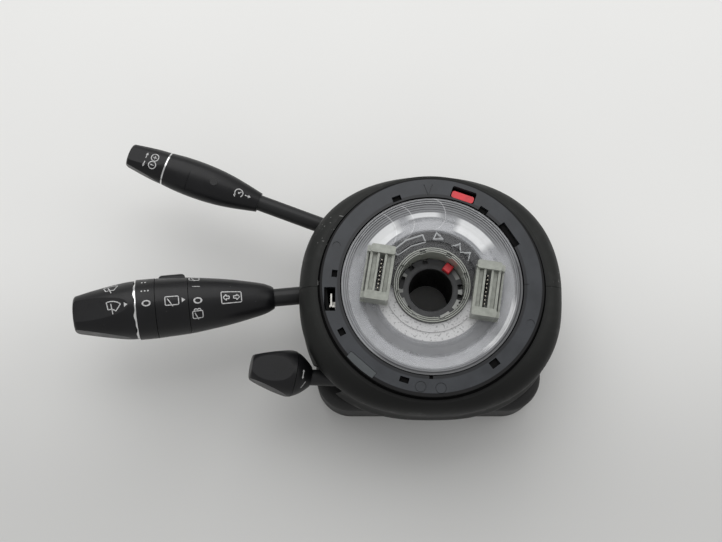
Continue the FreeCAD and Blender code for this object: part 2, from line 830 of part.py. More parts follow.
def ribbon_cable():
    """Flat cable wound as a spiral of half circles between the drum and the coil wall."""
    low = plate_top + plate_thick
    start = drum_radius + seat_gap + ribbon_thick / 2
    stop = ring_opening - seat_gap - ribbon_thick / 2
    step = (stop - start) / (2 * ribbon_turns)
    inner_edges = []
    outer_edges = []
    for half in range(2 * ribbon_turns):
        radius = start + half * step + step / 2
        centre = V(-step / 2 if half % 2 == 0 else step / 2, 0, low)
        begin = math.pi * (half % 2)
        for edges, shift in ((inner_edges, -ribbon_thick / 2), (outer_edges, ribbon_thick / 2)):
            circle = Part.Circle(centre, Z_AXIS, radius + shift)
            edges.append(Part.Arc(circle, begin, begin + math.pi).toShape())
    ends = [Part.makeLine(inner_edges[0].Vertexes[0].Point, outer_edges[0].Vertexes[0].Point),
            Part.makeLine(inner_edges[-1].Vertexes[-1].Point, outer_edges[-1].Vertexes[-1].Point)]
    wire = Part.Wire(Part.__sortEdges__(inner_edges + outer_edges + ends))
    return Part.Face(wire).extrude(V(0, 0, ribbon_height))


def tower_pads():
    """Raised pads of the rotor that carry the connector towers."""
    pads = []
    for angle in (tower_turn, tower_turn + 180):
        pads.append(polar_box(tower_radius - tower_inner - 0.4, tower_radius + tower_outer + 0.4,
                              tower_half_length + 0.4, angle,
                              ring_face - rotor_floor_drop - 0.6, ring_face - tower_pad))
    return pads


def rotor_shell():
    """Clear rotor: rim, shallow dish, recessed floor, hub wall and the drum of the coil."""
    rim = ring_opening - rotor_gap
    rim_top = ring_face - rotor_rim_drop
    rim_inner = rim - rotor_rim_width
    dish_edge = rim_top - 0.6
    dish_low = dish_edge - rotor_dish_depth
    floor_top = ring_face - rotor_floor_drop
    floor_low = floor_top - rotor_wall
    hub_low_face = plate_top + seat_gap
    lip_top = hub_low_face + rotor_lip
    lip_inner = shaft_radius + hub_wall + seat_gap
    drum_inner = drum_radius - rotor_wall
    drum_low = plate_top + plate_thick + drum_bottom_gap
    middle = (rotor_floor_edge + rim_inner) / 2
    outline = [(rim, rim_top), (rim - 1.0, rim_top), (rim - 1.3, rim_top - 0.4), (rim - 1.6, rim_top),
               (rim - 2.2, rim_top), (rim - 2.5, rim_top - 0.4), (rim - 2.8, rim_top), (rim_inner, rim_top),
               (rim_inner - 0.4, dish_edge), (middle + 4, dish_low + 0.25), (middle + 1, dish_low),
               (middle - 1, dish_low), (middle - 4, dish_low + 0.25), (rotor_floor_edge + 0.8, dish_edge),
               (rotor_floor_edge + 0.3, dish_edge), (rotor_floor_edge, floor_top),
               (rotor_hub_outer, floor_top), (rotor_hub_outer, ring_face), (rotor_hub_inner, ring_face),
               (rotor_hub_inner, lip_top), (lip_inner, lip_top), (lip_inner, hub_low_face),
               (rotor_hub_outer, hub_low_face), (rotor_hub_outer, floor_low), (drum_inner, floor_low),
               (drum_inner, drum_low), (drum_radius, drum_low), (drum_radius, floor_low),
               (rotor_floor_edge + 0.2, floor_low), (rotor_floor_edge + 1.6, dish_edge - rotor_wall),
               (middle - 1, dish_low - rotor_wall - 0.2), (middle + 1, dish_low - rotor_wall - 0.2),
               (rim_inner - 1, dish_edge - rotor_wall), (rim, rim_top - rotor_wall - 0.4)]
    parts = [lathe(outline)] + tower_pads()
    for angle in floor_rib_angles:
        parts.append(polar_box(rotor_hub_outer - 0.5, rotor_floor_edge - 0.6, 0.4, angle,
                               floor_top - 0.4, floor_top + 1.0))
    parts.append(tube(rotor_floor_edge - 5.5, rotor_floor_edge - 4.8, floor_top - 0.4, floor_top + 0.7))
    body = fused(parts)
    for angle in range(15, 360, 45):
        body = body.cut(polar_box(rotor_hub_inner - 1, rotor_hub_outer - 1.2, 1.6, angle,
                                  ring_face - 2.2, ring_face))
    return body


def glide_film():
    """Silvery slip disc under the dish."""
    rim_top = ring_face - rotor_rim_drop
    top = rim_top - 0.6 - rotor_dish_depth - rotor_wall - 0.2
    return tube(drum_radius + seat_gap, ring_opening - rotor_gap - rotor_rim_width - 0.6,
                top - film_thick, top)


def tower_frame(side):
    """Turn of a connector tower about the steering axis: 0 for the right one and 1 for the left one."""
    return tower_turn + 180 * side


def connector_tower(side):
    """Clear plug tower: two end pillars, walls along the contact slot and a back flange."""
    base = ring_face - tower_pad
    top = base + tower_height
    long_wall = base + tower_wall_height
    inner = tower_radius - tower_inner
    outer = tower_radius + tower_inner
    pillar = tower_half_length - tower_pillar
    slot = tower_slot / 2
    parts = [box(inner, tower_radius + tower_outer, -tower_half_length, tower_half_length, base, base + 1.5)]
    for end in (-1, 1):
        low = min(end * pillar, end * tower_half_length)
        column = box(inner, outer, low, low + tower_pillar, base, top)
        uprights = [e for e in column.Edges if abs(e.BoundBox.ZLength - tower_height) < 0.01]
        parts.append(column.makeFillet(1.2, uprights))
        parts.append(box(outer - 1, tower_radius + tower_outer, low + 0.6, low + tower_pillar - 0.6,
                         base, top - 3))
    back = tower_radius + tower_outer
    walls = ((inner, inner + 1.6, long_wall), (tower_radius - slot - 1.2, tower_radius - slot, top - 1),
             (tower_radius + slot, tower_radius + slot + 1.2, top - 1), (outer - 1.4, outer, long_wall),
             (back - 1.0, back, long_wall - 3))
    for near, far, height in walls:
        parts.append(box(near, far, -pillar - 0.5, pillar + 0.5, base, height))
    for y in (-6.5, 0.0, 6.5):
        parts.append(box(inner + 0.8, tower_radius - slot - 0.6, y - 0.5, y + 0.5, base, long_wall - 2))
        parts.append(box(tower_radius + slot + 0.6, outer - 0.7, y - 0.5, y + 0.5, base, long_wall - 2))
    body = fused(parts)
    body = body.cut(box(tower_radius - slot, tower_radius + slot, -pillar, pillar, base, top))
    return turned(body, tower_frame(side))


def terminal_pins():
    """Contacts that stand in the slots of both towers."""
    pins = []
    base = ring_face - tower_pad
    for side in (0, 1):
        for step in range(pin_count):
            y = (step - (pin_count - 1) / 2) * pin_pitch
            pin = box(tower_radius - pin_size / 2, tower_radius + pin_size / 2, y - pin_size / 2,
                      y + pin_size / 2, base, base + pin_height)
            pins.append(turned(pin, tower_frame(side)))
    return Part.makeCompound(pins)


def sensor_hub():
    """Dark hub on the steering shaft: a notched flange and a long sleeve through the bearing."""
    face = ring_face - hub_drop
    seat = plate_top + seat_gap + rotor_lip
    sleeve = shaft_radius + hub_wall
    body = fused([tube(0, hub_flange_radius, seat, face), tube(0, sleeve, hub_low, seat)])
    body = body.cut(tube(0, shaft_radius, hub_low, face))
    notch = hub_flange_radius - hub_wall - 0.2
    for angle, half in ((165, 3.6), (130, 1.6), (6, 1.5), (-14, 1.5), (-95, 3.4), (100, 1.4), (-140, 1.4)):
        body = body.cut(polar_box(notch, hub_flange_radius + 1, half, angle, seat + 2, face))
    for angle in range(-80, -20, 7):
        body = body.cut(polar_box(hub_flange_radius - 0.9, hub_flange_radius + 1, 0.6, angle, face - 2, face))
    tab_inner = hub_flange_radius - tab_length
    return body.cut(polar_box(tab_inner - slide_gap, hub_flange_radius + 1, tab_width / 2 + slide_gap,
                              tab_angle, seat + tab_floor, face))


def lock_tab():
    """Red tab that is pressed in when the wheel is fitted."""
    seat = plate_top + seat_gap + rotor_lip
    low = seat + tab_floor + tab_travel + 0.1
    body = polar_box(hub_flange_radius - tab_length, hub_flange_radius - 0.1, tab_width / 2, tab_angle,
                     low, low + tab_height)
    edges = [e for e in body.Edges if e.BoundBox.ZMin > low + tab_height - 0.01]
    return body.makeFillet(0.5, edges)


def code_disc():
    """Slotted disc that the light gate reads."""
    body = tube(shaft_radius + hub_wall, disc_radius, disc_height, disc_height + disc_thick)
    for step in range(disc_windows):
        body = body.cut(polar_box(disc_radius - 5.5, disc_radius - 1.5, 1.3, 360 * step / disc_windows,
                                  disc_height, disc_height + disc_thick))
    return body


def rotor_retainer():
    """Ring on the hub that keeps the rotor in its bearing."""
    top = plate_under - bearing_length - seat_gap
    sleeve = shaft_radius + hub_wall
    body = tube(sleeve, sleeve + retainer_width, top - retainer_thick, top)
    for angle in range(0, 360, 60):
        body = body.cut(polar_box(sleeve + retainer_width - 1, sleeve + retainer_width + 1, 1.5, angle,
                                  top - retainer_thick, top))
    return body


def switch_block():
    """Housing of one switch: a box open towards the stalk, with the cam of the detent at its back."""
    half = switch_height / 2
    body = box(-block_back, block_front, -block_half_width, block_half_width, -half, half)
    inside = half - block_floor
    side = block_half_width - block_wall
    body = body.cut(box(5 - block_back, block_front, -side, side, -inside, inside))
    cam = Part.makeSphere(plunger_reach + seat_gap).common(box(-block_back, 5 - block_back, -side, side,
                                                               -inside, inside))
    body = body.cut(cam)
    body = body.cut(post(trunnion_radius + running_fit, 0, 0, -half, half))
    for y in (-1, 1):
        edge = y * block_half_width
        body = body.cut(post(block_screw + press_fit, block_screw_inset - block_back,
                             edge - y * block_screw_inset, half - 8, half))
        body = body.cut(box(-6, 4, edge - 0.5, edge + 0.5, 5 - half, half - 5))
    return body


def gimbal():
    """Open frame that swings in the block on two trunnions and carries the lever on its sides."""
    body = box(-gimbal_half_length, gimbal_half_length, -gimbal_half_width, gimbal_half_width,
               -gimbal_half_height, gimbal_half_height)
    inner_y = gimbal_half_width - gimbal_side
    inner_z = gimbal_half_height - gimbal_bar
    body = body.cut(box(-gimbal_half_length, gimbal_half_length, -inner_y, inner_y, -inner_z, inner_z))
    end = switch_height / 2 - 0.4
    for z0, z1 in ((gimbal_half_height - 0.5, end), (-end, 0.5 - gimbal_half_height)):
        body = body.fuse(post(trunnion_radius, 0, 0, z0, z1))
    pin = Part.makeCylinder(cross_pin_radius + running_fit, 2 * gimbal_half_width,
                            V(0, -gimbal_half_width, 0), Y_AXIS)
    return body.removeSplitter().cut(pin)


def lever(rod_radius, end):
    """Lever: boss with cross pins, tail for the plunger, and the rod out to the handle."""
    inner_y = gimbal_half_width - gimbal_side
    inner_z = gimbal_half_height - gimbal_bar
    boss_half = inner_y - seat_gap
    pin_half = gimbal_half_width - 0.4
    boss = Part.makeCylinder(inner_z - seat_gap, 2 * boss_half, V(0, -boss_half, 0), Y_AXIS)
    pins = Part.makeCylinder(cross_pin_radius, 2 * pin_half, V(0, -pin_half, 0), Y_AXIS)
    tail = rod(tail_radius, -tail_length, 0)
    neck = rod(lever_neck, 0, block_front)
    flare = Part.makeCone(lever_neck, rod_radius, 6, V(block_front, 0, 0), X_AXIS)
    shaft = rod(rod_radius, block_front + 6, end)
    body = fused([boss, pins, tail, neck, flare, shaft])
    return body.cut(rod(plunger_radius + press_fit, -tail_length, -tail_length + 4.5))


def plunger():
    """Spring-loaded detent plunger in the tail of the lever."""
    centre = plunger_radius - plunger_reach
    body = rod(plunger_radius, centre, -tail_length + 4.2)
    return body.fuse(Part.makeSphere(plunger_radius, V(centre, 0, 0))).removeSplitter()


def flattened(solid, share):
    """The solid with its height scaled, which makes round sections oval."""
    matrix = FreeCAD.Matrix()
    matrix.scale(1, 1, share)
    return solid.transformGeometry(matrix)


def cruise_handle():
    """Oval grip that slides on the rod when it is pressed."""
    body = flattened(grip(cruise_profile, cruise_root, cruise_trim_at), cruise_flat)
    bore_end = cruise_root + cruise_grip_depth + cruise_travel + 1
    body = body.cut(rod(cruise_rod + running_fit, cruise_root, bore_end))
    top = cruise_lamp_level * cruise_flat
    body = body.cut(post(cruise_lamp_radius + press_fit, cruise_lamp_at, 0, top - 1.6, top + 3))
    seam_end = cruise_seam_at + cruise_seam_width
    seam = rod(cruise_widest + 2, cruise_seam_at, seam_end)
    seam = seam.cut(rod(cruise_widest - 0.5, cruise_seam_at, seam_end))
    seam = seam.common(box(cruise_seam_at, seam_end, -1, cruise_widest - 1.2, 0, cruise_widest + 2))
    return body.cut(flattened(seam, cruise_flat))


def cruise_lamp():
    """Small round lens in the grip."""
    top = cruise_lamp_level * cruise_flat
    return post(cruise_lamp_radius, cruise_lamp_at, 0, top - 1.6, top + 0.15)


def cruise_trim():
    """Bright ring between the grip and the end cap."""
    return flattened(rod(9.6, cruise_trim_at, cruise_trim_at + cruise_trim_width), cruise_flat)


def cruise_end_cap():
    """Faceted end cap."""
    body = grip(cruise_cap_profile, cruise_cap_at, cruise_tip)
    body = tip_rounded(body, cruise_tip, 2.2)
    body = faceted(body, cruise_cap_at, 9.7, cruise_tip, 6.0)
    return flattened(body, cruise_flat)


def combi_lever():
    """Lever of the combination stalk, with a thinner core out to the knob."""
    core = rod(core_radius, combi_rod_end - 1, knob_tip - core_clear)
    return lever(combi_rod, combi_rod_end).fuse(core).removeSplitter()


def combi_handle():
    """Flared grip with a stub behind it that carries the rear wiper ring and the mark ring."""
    body = grip(combi_profile, combi_root, rear_ring_at)
    seat_end = mark_ring_end - knob_travel - 2 * seat_gap
    parts = [body, rod(stub_radius, rear_ring_at - 1, mark_ring_at),
             rod(mark_seat_radius, mark_ring_at - 1, seat_end)]
    body = fused(parts)
    body = body.cut(rod(combi_rod + press_fit, combi_root, combi_rod_end))
    return body.cut(rod(core_radius + press_fit, combi_rod_end, seat_end))


def rear_wiper_ring():
    """Turning ring with its thumb tab on the upper side."""
    start = rear_ring_at + seat_gap
    end = mark_ring_at - seat_gap
    body = grip(((start, 15.6), ((start + end) / 2, 16.1), (end, 16.5)), start, end)
    tab = box(start + 1.2, end - 1.6, -tab_reach, -stub_radius - 2, -tab_half, tab_half)
    tab = tab.makeFillet(tab_round, [e for e in tab.Edges if e.BoundBox.YMax < 0.01 - tab_reach])
    body = body.fuse(tab)
    return body.removeSplitter().cut(rod(stub_radius + running_fit, start, end))


def mark_ring():
    """Fixed ring that carries the wiper marks, with a pocket that the knob slides into."""
    body = rod(mark_radius, mark_ring_at, mark_ring_end)
    body = body.cut(rod(mark_seat_radius + press_fit, mark_ring_at, mark_ring_end))
    pocket = mark_ring_end - knob_travel - knob_overlap - seat_gap
    return body.cut(rod(knob_radius + slide_gap, pocket, mark_ring_end))


def wiper_spindle():
    """Sleeve that turns on the core and lets the knob slide along its key."""
    start = mark_ring_end - knob_travel - seat_gap
    end = knob_tip - spindle_clear
    body = rod(spindle_radius, start, end)
    body = body.fuse(box(start + 7, end, -spindle_key / 2, spindle_key / 2, spindle_radius - 1,
                         spindle_radius + 1.2))
    return body.removeSplitter().cut(rod(core_radius + running_fit, start, knob_tip - core_clear + seat_gap))


def wiper_knob():
    """Hollow faceted knob that turns and is pressed."""
    start = mark_ring_end + trim_width
    profile = ((start, knob_radius), (start + 2.2, knob_radius - 0.05), (start + 10.8, knob_radius - 1.1),
               (knob_tip - 11, knob_radius - 3), (knob_tip, knob_radius - 5.4))
    body = grip(profile, start, knob_tip)
    body = tip_rounded(body, knob_tip, 2.6)
    body = faceted(body, start, knob_radius + 0.6, knob_tip, 9.0)
    neck_start = mark_ring_end - knob_overlap
    body = body.fuse(rod(knob_radius - 1, neck_start, start + 1))
    body = body.removeSplitter()
    body = body.cut(rod(knob_radius - 3, neck_start, start + 9))
    boss = rod(spindle_radius + 3, start + 1, start + 12)
    body = body.fuse(boss).removeSplitter()
    bore_end = knob_tip - spindle_clear + knob_travel + seat_gap
    body = body.cut(rod(spindle_radius + running_fit, neck_start, bore_end))
    return body.cut(box(neck_start, bore_end, -spindle_key / 2 - slide_gap, spindle_key / 2 + slide_gap, 0,
                        spindle_radius + 1.2 + slide_gap))


def wiper_trim():
    """Bright ring on the neck of the wiper knob."""
    body = rod(knob_radius + slide_gap / 3, mark_ring_end, mark_ring_end + trim_width)
    return body.cut(rod(knob_radius - 1 + press_fit, mark_ring_end, mark_ring_end + trim_width))


def knob_place(stalk, lean):
    """The frame of the adjuster knob, bent away from the rod of its lever."""
    bend = FreeCAD.Rotation(Z_AXIS, adjuster_skew).multiply(FreeCAD.Rotation(Y_AXIS, -adjuster_rise))
    return stalk_place(stalk, lean).multiply(FreeCAD.Placement(V(adjuster_bend_at, 0, 0), bend))


def adjuster_lever():
    """Lever of the column adjuster, with a bent core that the knob turns on."""
    body = lever(adjuster_rod, adjuster_bend_at + 5)
    bend = FreeCAD.Rotation(Z_AXIS, adjuster_skew).multiply(FreeCAD.Rotation(Y_AXIS, -adjuster_rise))
    core = placed(rod(core_radius, 1, adjuster_core_end), FreeCAD.Placement(V(adjuster_bend_at, 0, 0), bend))
    return body.fuse(core).removeSplitter()


def adjuster_base():
    """Fixed printed base of the egg-shaped knob, in the frame of the knob."""
    start = adjuster_base_start
    profile = ((start, 5.6), (start + 2.2, 7.8), (start + 5.5, 10.4), (adjuster_seam, 12.3))
    return grip(profile, start, adjuster_seam)


def adjuster_knob():
    """Turning outer part of the egg-shaped knob, with soft flats."""
    start = adjuster_seam + seat_gap
    profile = ((start, 12.55), (start + 4.5, adjuster_radius), (start + 12, 11.9), (start + 19, 9.6),
               (adjuster_tip, 6.6))
    body = grip(profile, start, adjuster_tip)
    body = tip_rounded(body, adjuster_tip, 2.4)
    body = faceted(body, start, adjuster_radius + 0.4, adjuster_tip, 6.4)
    return body.cut(rod(core_radius + running_fit, start, adjuster_core_end + seat_gap))


def cruise_pieces():
    """All pieces of the cruise stalk in their places."""
    upright = stalk_place(cruise)
    leaned = stalk_place(cruise, stalk_lean)
    end = cruise_root + cruise_grip_depth
    return {"cruise_switch": placed(switch_block(), upright),
            "cruise_gimbal": placed(gimbal(), upright),
            "cruise_lever": placed(lever(cruise_rod, end), leaned),
            "cruise_plunger": placed(plunger(), leaned),
            "cruise_handle": placed(cruise_handle(), leaned),
            "cruise_trim": placed(cruise_trim(), leaned),
            "cruise_end_cap": placed(cruise_end_cap(), leaned),
            "cruise_lamp": placed(cruise_lamp(), leaned)}


def combi_pieces():
    """All pieces of the combination stalk in their places."""
    upright = stalk_place(combi)
    leaned = stalk_place(combi, stalk_lean)
    return {"combi_switch": placed(switch_block(), upright),
            "combi_gimbal": placed(gimbal(), upright),
            "combi_lever": placed(combi_lever(), leaned),
            "combi_plunger": placed(plunger(), leaned),
            "combi_handle": placed(combi_handle(), leaned),
            "rear_wiper_ring": placed(rear_wiper_ring(), leaned),
            "mark_ring": placed(mark_ring(), leaned),
            "wiper_spindle": placed(wiper_spindle(), leaned),
            "wiper_knob": placed(wiper_knob(), leaned),
            "wiper_trim": placed(wiper_trim(), leaned)}


def adjuster_pieces():
    """All pieces of the column adjuster stalk in their places."""
    upright = stalk_place(adjuster)
    leaned = stalk_place(adjuster, stalk_lean)
    bent = knob_place(adjuster, stalk_lean)
    lever_solid = placed(adjuster_lever(), leaned)
    return {"adjuster_switch": placed(switch_block(), upright),
            "adjuster_gimbal": placed(gimbal(), upright),
            "adjuster_lever": lever_solid,
            "adjuster_plunger": placed(plunger(), leaned),
            "adjuster_base": placed(adjuster_base(), bent).cut(lever_solid),
            "adjuster_knob": placed(adjuster_knob(), bent)}


def body_pieces():
    """All pieces that stay with the column."""
    collar_upper, collar_lower = collar_halves()
    return {"rear_housing": rear_housing(),
            "rear_cover": rear_cover(),
            "cover_screws": cover_screws(),
            "circuit_board": circuit_board(),
            "board_components": board_components(),
            "sensor_fork": sensor_fork(),
            "harness_sockets": harness_sockets(),
            "harness_pins": harness_pins(),
            "main_chassis": main_chassis(),
            "chassis_screws": chassis_screws(),
            "collar_upper": collar_upper,
            "collar_lower": collar_lower,
            "collar_screws": collar_screws(),
            "stator_pan": stator_pan(),
            "stator_ring": stator_ring(),
            "ring_cover_plate": ring_cover_plate(),
            "lock_spring": lock_spring(),
            "centre_lock": centre_lock(),
            "ribbon_cable": ribbon_cable()}


def rotor_pieces():
    """All pieces that turn with the steering wheel."""
    return {"rotor_shell": rotor_shell(),
            "glide_film": glide_film(),
            "connector_right": connector_tower(0),
            "connector_left": connector_tower(1),
            "terminal_pins": terminal_pins(),
            "sensor_hub": sensor_hub(),
            "lock_tab": lock_tab(),
            "code_disc": code_disc(),
            "rotor_retainer": rotor_retainer()}


def main():
    """Writes one file per piece."""
    os.makedirs("parts", exist_ok=True)
    pieces = {}
    for group in (body_pieces, rotor_pieces, cruise_pieces, combi_pieces, adjuster_pieces):
        pieces.update(group())
    for name, shape in pieces.items():
        shape.exportStep("parts/" + name + ".step")
        print(name, len(shape.Solids), round(shape.Volume, 1), shape.isValid())


main()
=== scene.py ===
import json
import math

import bmesh
import bpy
from bpy.props import FloatProperty, FloatVectorProperty, PointerProperty
from mathutils import Matrix, Vector
from mathutils.bvhtree import BVHTree


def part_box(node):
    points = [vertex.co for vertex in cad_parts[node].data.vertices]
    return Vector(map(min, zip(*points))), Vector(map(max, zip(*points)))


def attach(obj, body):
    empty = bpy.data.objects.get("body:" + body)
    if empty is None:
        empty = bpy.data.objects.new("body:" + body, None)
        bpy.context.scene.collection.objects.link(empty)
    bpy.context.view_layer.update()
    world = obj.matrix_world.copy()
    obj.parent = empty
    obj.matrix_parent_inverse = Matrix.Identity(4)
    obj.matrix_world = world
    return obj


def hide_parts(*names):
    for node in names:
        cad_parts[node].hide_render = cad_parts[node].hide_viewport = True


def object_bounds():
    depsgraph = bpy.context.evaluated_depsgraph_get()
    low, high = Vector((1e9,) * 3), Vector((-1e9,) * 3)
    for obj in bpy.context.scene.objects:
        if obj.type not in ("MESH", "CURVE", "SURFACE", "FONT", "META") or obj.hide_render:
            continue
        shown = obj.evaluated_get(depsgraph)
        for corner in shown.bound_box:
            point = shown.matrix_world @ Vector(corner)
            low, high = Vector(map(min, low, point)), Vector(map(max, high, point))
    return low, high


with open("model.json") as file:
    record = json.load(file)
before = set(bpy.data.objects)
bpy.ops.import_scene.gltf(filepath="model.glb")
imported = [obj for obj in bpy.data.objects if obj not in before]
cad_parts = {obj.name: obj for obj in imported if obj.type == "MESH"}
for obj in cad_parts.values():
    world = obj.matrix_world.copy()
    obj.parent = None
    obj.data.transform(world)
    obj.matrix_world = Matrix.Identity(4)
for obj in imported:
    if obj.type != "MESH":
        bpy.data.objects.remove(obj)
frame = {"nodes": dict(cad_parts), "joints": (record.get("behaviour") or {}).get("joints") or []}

bl_info = {
    "name": "Column switch and clock spring",
    "version": (1, 0, 0),
    "blender": (4, 5, 0),
    "location": "View3D > Sidebar > Clock spring",
    "description": "Finishes, printed marks and stage for a steering column switch with its clock spring",
    "category": "Object",
}

MM = 0.001
# Box of the frame before anything is added, and its joints by name
CAD_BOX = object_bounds()
JOINTS = {joint["name"]: joint for joint in frame["joints"]}

# Radius of the face ring, and the top of three pieces, in millimetres
RING_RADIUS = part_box("stator_ring")[1].x / MM
ROTOR_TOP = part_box("rotor_shell")[1].z / MM
HUB_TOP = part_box("sensor_hub")[1].z / MM
COLLAR_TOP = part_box("collar_upper")[1].z / MM


def colour(name, description, default):
    """A colour that a user may change."""
    return FloatVectorProperty(name=name, description=description, subtype="COLOR", size=3, min=0.0, max=1.0,
                               default=default)


class ClockSpringFinishes(bpy.types.PropertyGroup):
    """Colours of the finishes."""

    collar: colour("Collar", "Soft-touch paint of the collar", (0.0115, 0.0122, 0.0112))
    ring: colour("Ring", "Satin face ring of the clock spring", (0.034, 0.037, 0.042))
    plate: colour("Plate", "Small snap-in plate in the ring", (0.070, 0.078, 0.082))
    housing: colour("Housing", "Grained plastic of the rear housing", (0.009, 0.009, 0.009))
    grip: colour("Grips", "Satin plastic of the stalk grips", (0.0048, 0.0048, 0.0056))
    lever: colour("Levers", "Plastic of the stalk levers", (0.0065, 0.0068, 0.0072))
    hub: colour("Hub", "Sensor hub on the steering shaft", (0.027, 0.028, 0.030))
    clear: colour("Rotor", "Clear plastic of the rotor", (0.52, 0.53, 0.55))
    milky: colour("Towers", "Milky plastic of the connector towers", (0.34, 0.355, 0.315))
    film: colour("Film", "Silvery slip film under the rotor", (0.50, 0.51, 0.53))
    lock: colour("Locks", "Red lock pieces", (0.60, 0.018, 0.028))
    mark: colour("Marks", "Printed marks on the grips", (0.60, 0.60, 0.60))


class ClockSpringMarks(bpy.types.PropertyGroup):
    """Sizes of the printed marks."""

    stroke: FloatProperty(name="Stroke", description="Width of a printed line", unit="LENGTH",
                          default=0.00052, min=0.0001, max=0.002)
    lift: FloatProperty(name="Lift", description="Height of the print over the grip", unit="LENGTH",
                        default=0.00002, min=0.000005, max=0.0002)
    depth: FloatProperty(name="Thickness", description="Thickness of the print", unit="LENGTH",
                         default=0.00003, min=0.00001, max=0.0002)


class ClockSpringStage(bpy.types.PropertyGroup):
    """Floor, light and camera."""

    floor: colour("Floor", "Pale floor", (0.705, 0.705, 0.692))
    world: FloatProperty(name="Fill", description="Strength of the even light from all sides", default=0.52)
    key: FloatProperty(name="Key", description="Power of the large lamp", default=9.0, min=0.0)
    distance: FloatProperty(name="Distance", description="From the camera to the point it aims at",
                            unit="LENGTH", default=0.56)
    tilt: FloatProperty(name="Tilt", description="Lean of the camera from straight down", subtype="ANGLE",
                        default=math.radians(14.5))
    lens: FloatProperty(name="Lens", description="Focal length on a 36 mm wide sensor", default=52.1)


class Signal:
    """A socket of a material that takes part in Python sums."""

    def __init__(self, finish, socket):
        self.finish = finish
        self.socket = socket

    def maths(self, operation, *values):
        """The result of a Math node on these values."""
        node = self.finish.node("ShaderNodeMath", {"operation": operation}, dict(enumerate(values)))
        return Signal(self.finish, node.outputs[0])

    def __add__(self, other):
        return self.maths("ADD", self, other)

    def __radd__(self, other):
        return self.maths("ADD", other, self)

    def __sub__(self, other):
        return self.maths("SUBTRACT", self, other)

    def __rsub__(self, other):
        return self.maths("SUBTRACT", other, self)

    def __mul__(self, other):
        return self.maths("MULTIPLY", self, other)

    def __rmul__(self, other):
        return self.maths("MULTIPLY", other, self)

    def __pow__(self, other):
        return self.maths("POWER", self, other)

    def __abs__(self):
        return self.maths("ABSOLUTE", self)

    def wave(self, length):
        """A sine of this signal with the given length."""
        return self.maths("SINE", self * (2 * math.pi / length))

    def ramp(self, low, high):
        """0 below low, 1 above high and a soft step between; high may be the lower one."""
        settings = {"interpolation_type": "SMOOTHSTEP"}
        ends = {"Value": self, "From Min": low, "From Max": high}
        if low > high:
            ends.update({"From Min": high, "From Max": low, "To Min": 1.0, "To Max": 0.0})
        return Signal(self.finish, self.finish.node("ShaderNodeMapRange", settings, ends).outputs[0])

    def below(self, level, start, full):
        """0 to 1 between two distances below a level."""
        return self.ramp(level - start, level - full)

    def near(self, centre, half):
        """1 close to a centre and 0 from half away, with soft sides."""
        return abs(self - centre).ramp(half, half * 0.5)

    def band(self, low, high, soft):
        """1 between two values, with sides as soft as given."""
        return self.ramp(low, low + soft) * self.ramp(high, high - soft)

    def cap(self):
        """This signal, at most 1."""
        return self.maths("MINIMUM", self, 1.0)


class Finish:
    """A material around one principled shader, with coordinates in millimetres."""

    # Sockets of a Mix node that mixes colours: the factor and both colours, and the result
    mix_inputs = (0, 6, 7)
    mix_output = 2

    def __init__(self, name):
        self.material = bpy.data.materials.new(name)
        self.material.use_nodes = True
        self.tree = self.material.node_tree
        self.tree.nodes.clear()
        output = self.tree.nodes.new("ShaderNodeOutputMaterial")
        self.shader = self.tree.nodes.new("ShaderNodeBsdfPrincipled")
        self.tree.links.new(self.shader.outputs["BSDF"], output.inputs["Surface"])
        place = self.tree.nodes.new("ShaderNodeTexCoord").outputs["Object"]
        self.place = self.node("ShaderNodeVectorMath", {"operation": "SCALE"},
                               {"Vector": place, "Scale": 1 / MM}).outputs[0]
        parts = self.node("ShaderNodeSeparateXYZ", {}, {0: self.place})
        self.x, self.y, self.z = (Signal(self, socket) for socket in parts.outputs)

    def node(self, kind, settings, inputs):
        """Any node: its settings first, then the values or links of its sockets."""
        node = self.tree.nodes.new(kind)
        for name, value in settings.items():
            setattr(node, name, value)
        for name, value in inputs.items():
            self.feed(node.inputs[name], value)
        return node

    def feed(self, socket, value):
        """Links a socket, or sets its value."""
        if isinstance(value, Signal):
            value = value.socket
        if isinstance(value, bpy.types.NodeSocket):
            self.tree.links.new(value, socket)
        elif hasattr(value, "__len__") and len(value) == 3 and socket.type == "RGBA":
            socket.default_value = (*value, 1.0)
        else:
            socket.default_value = value

    def put(self, **sockets):
        """Sets sockets of the shader; an underscore stands for a space."""
        for name, value in sockets.items():
            self.feed(self.shader.inputs[name.replace("_", " ").title().replace("Ior", "IOR")], value)
        return self

    def radius(self):
        """Distance from the steering axis."""
        return (self.x * self.x + self.y * self.y) ** 0.5

    def turn(self):
        """Angle about the steering axis, in degrees from +X."""
        return self.y.maths("ARCTAN2", self.y, self.x) * (180 / math.pi)

    def noise(self, size, detail, stretch=(1.0, 1.0, 1.0), shift=(0.0, 0.0, 0.0)):
        """Cloudy pattern with spots of about this size in millimetres."""
        place = self.node("ShaderNodeMapping", {},
                          {"Vector": self.place, "Location": shift, "Scale": stretch}).outputs[0]
        texture = self.node("ShaderNodeTexNoise", {},
                            {"Vector": place, "Scale": 1 / size, "Detail": detail, "Roughness": 0.55})
        return Signal(self, texture.outputs[0])

    def mix(self, factor, first, second):
        """A colour between two colours."""
        values = dict(zip(self.mix_inputs, (factor, first, second)))
        return self.node("ShaderNodeMix", {"data_type": "RGBA"}, values).outputs[self.mix_output]

    def cloudy(self, pattern, base, dark, light):
        """A colour that a pattern makes darker and lighter, by two factors, in soft patches."""
        return self.mix(pattern.ramp(0.3, 0.7), shade(base, dark), shade(base, light))

    def bump(self, height, depth):
        """Relief of the given depth in millimetres."""
        node = self.node("ShaderNodeBump", {}, {"Strength": 1.0, "Distance": depth * MM, "Height": height})
        self.feed(self.shader.inputs["Normal"], node.outputs[0])
        return self


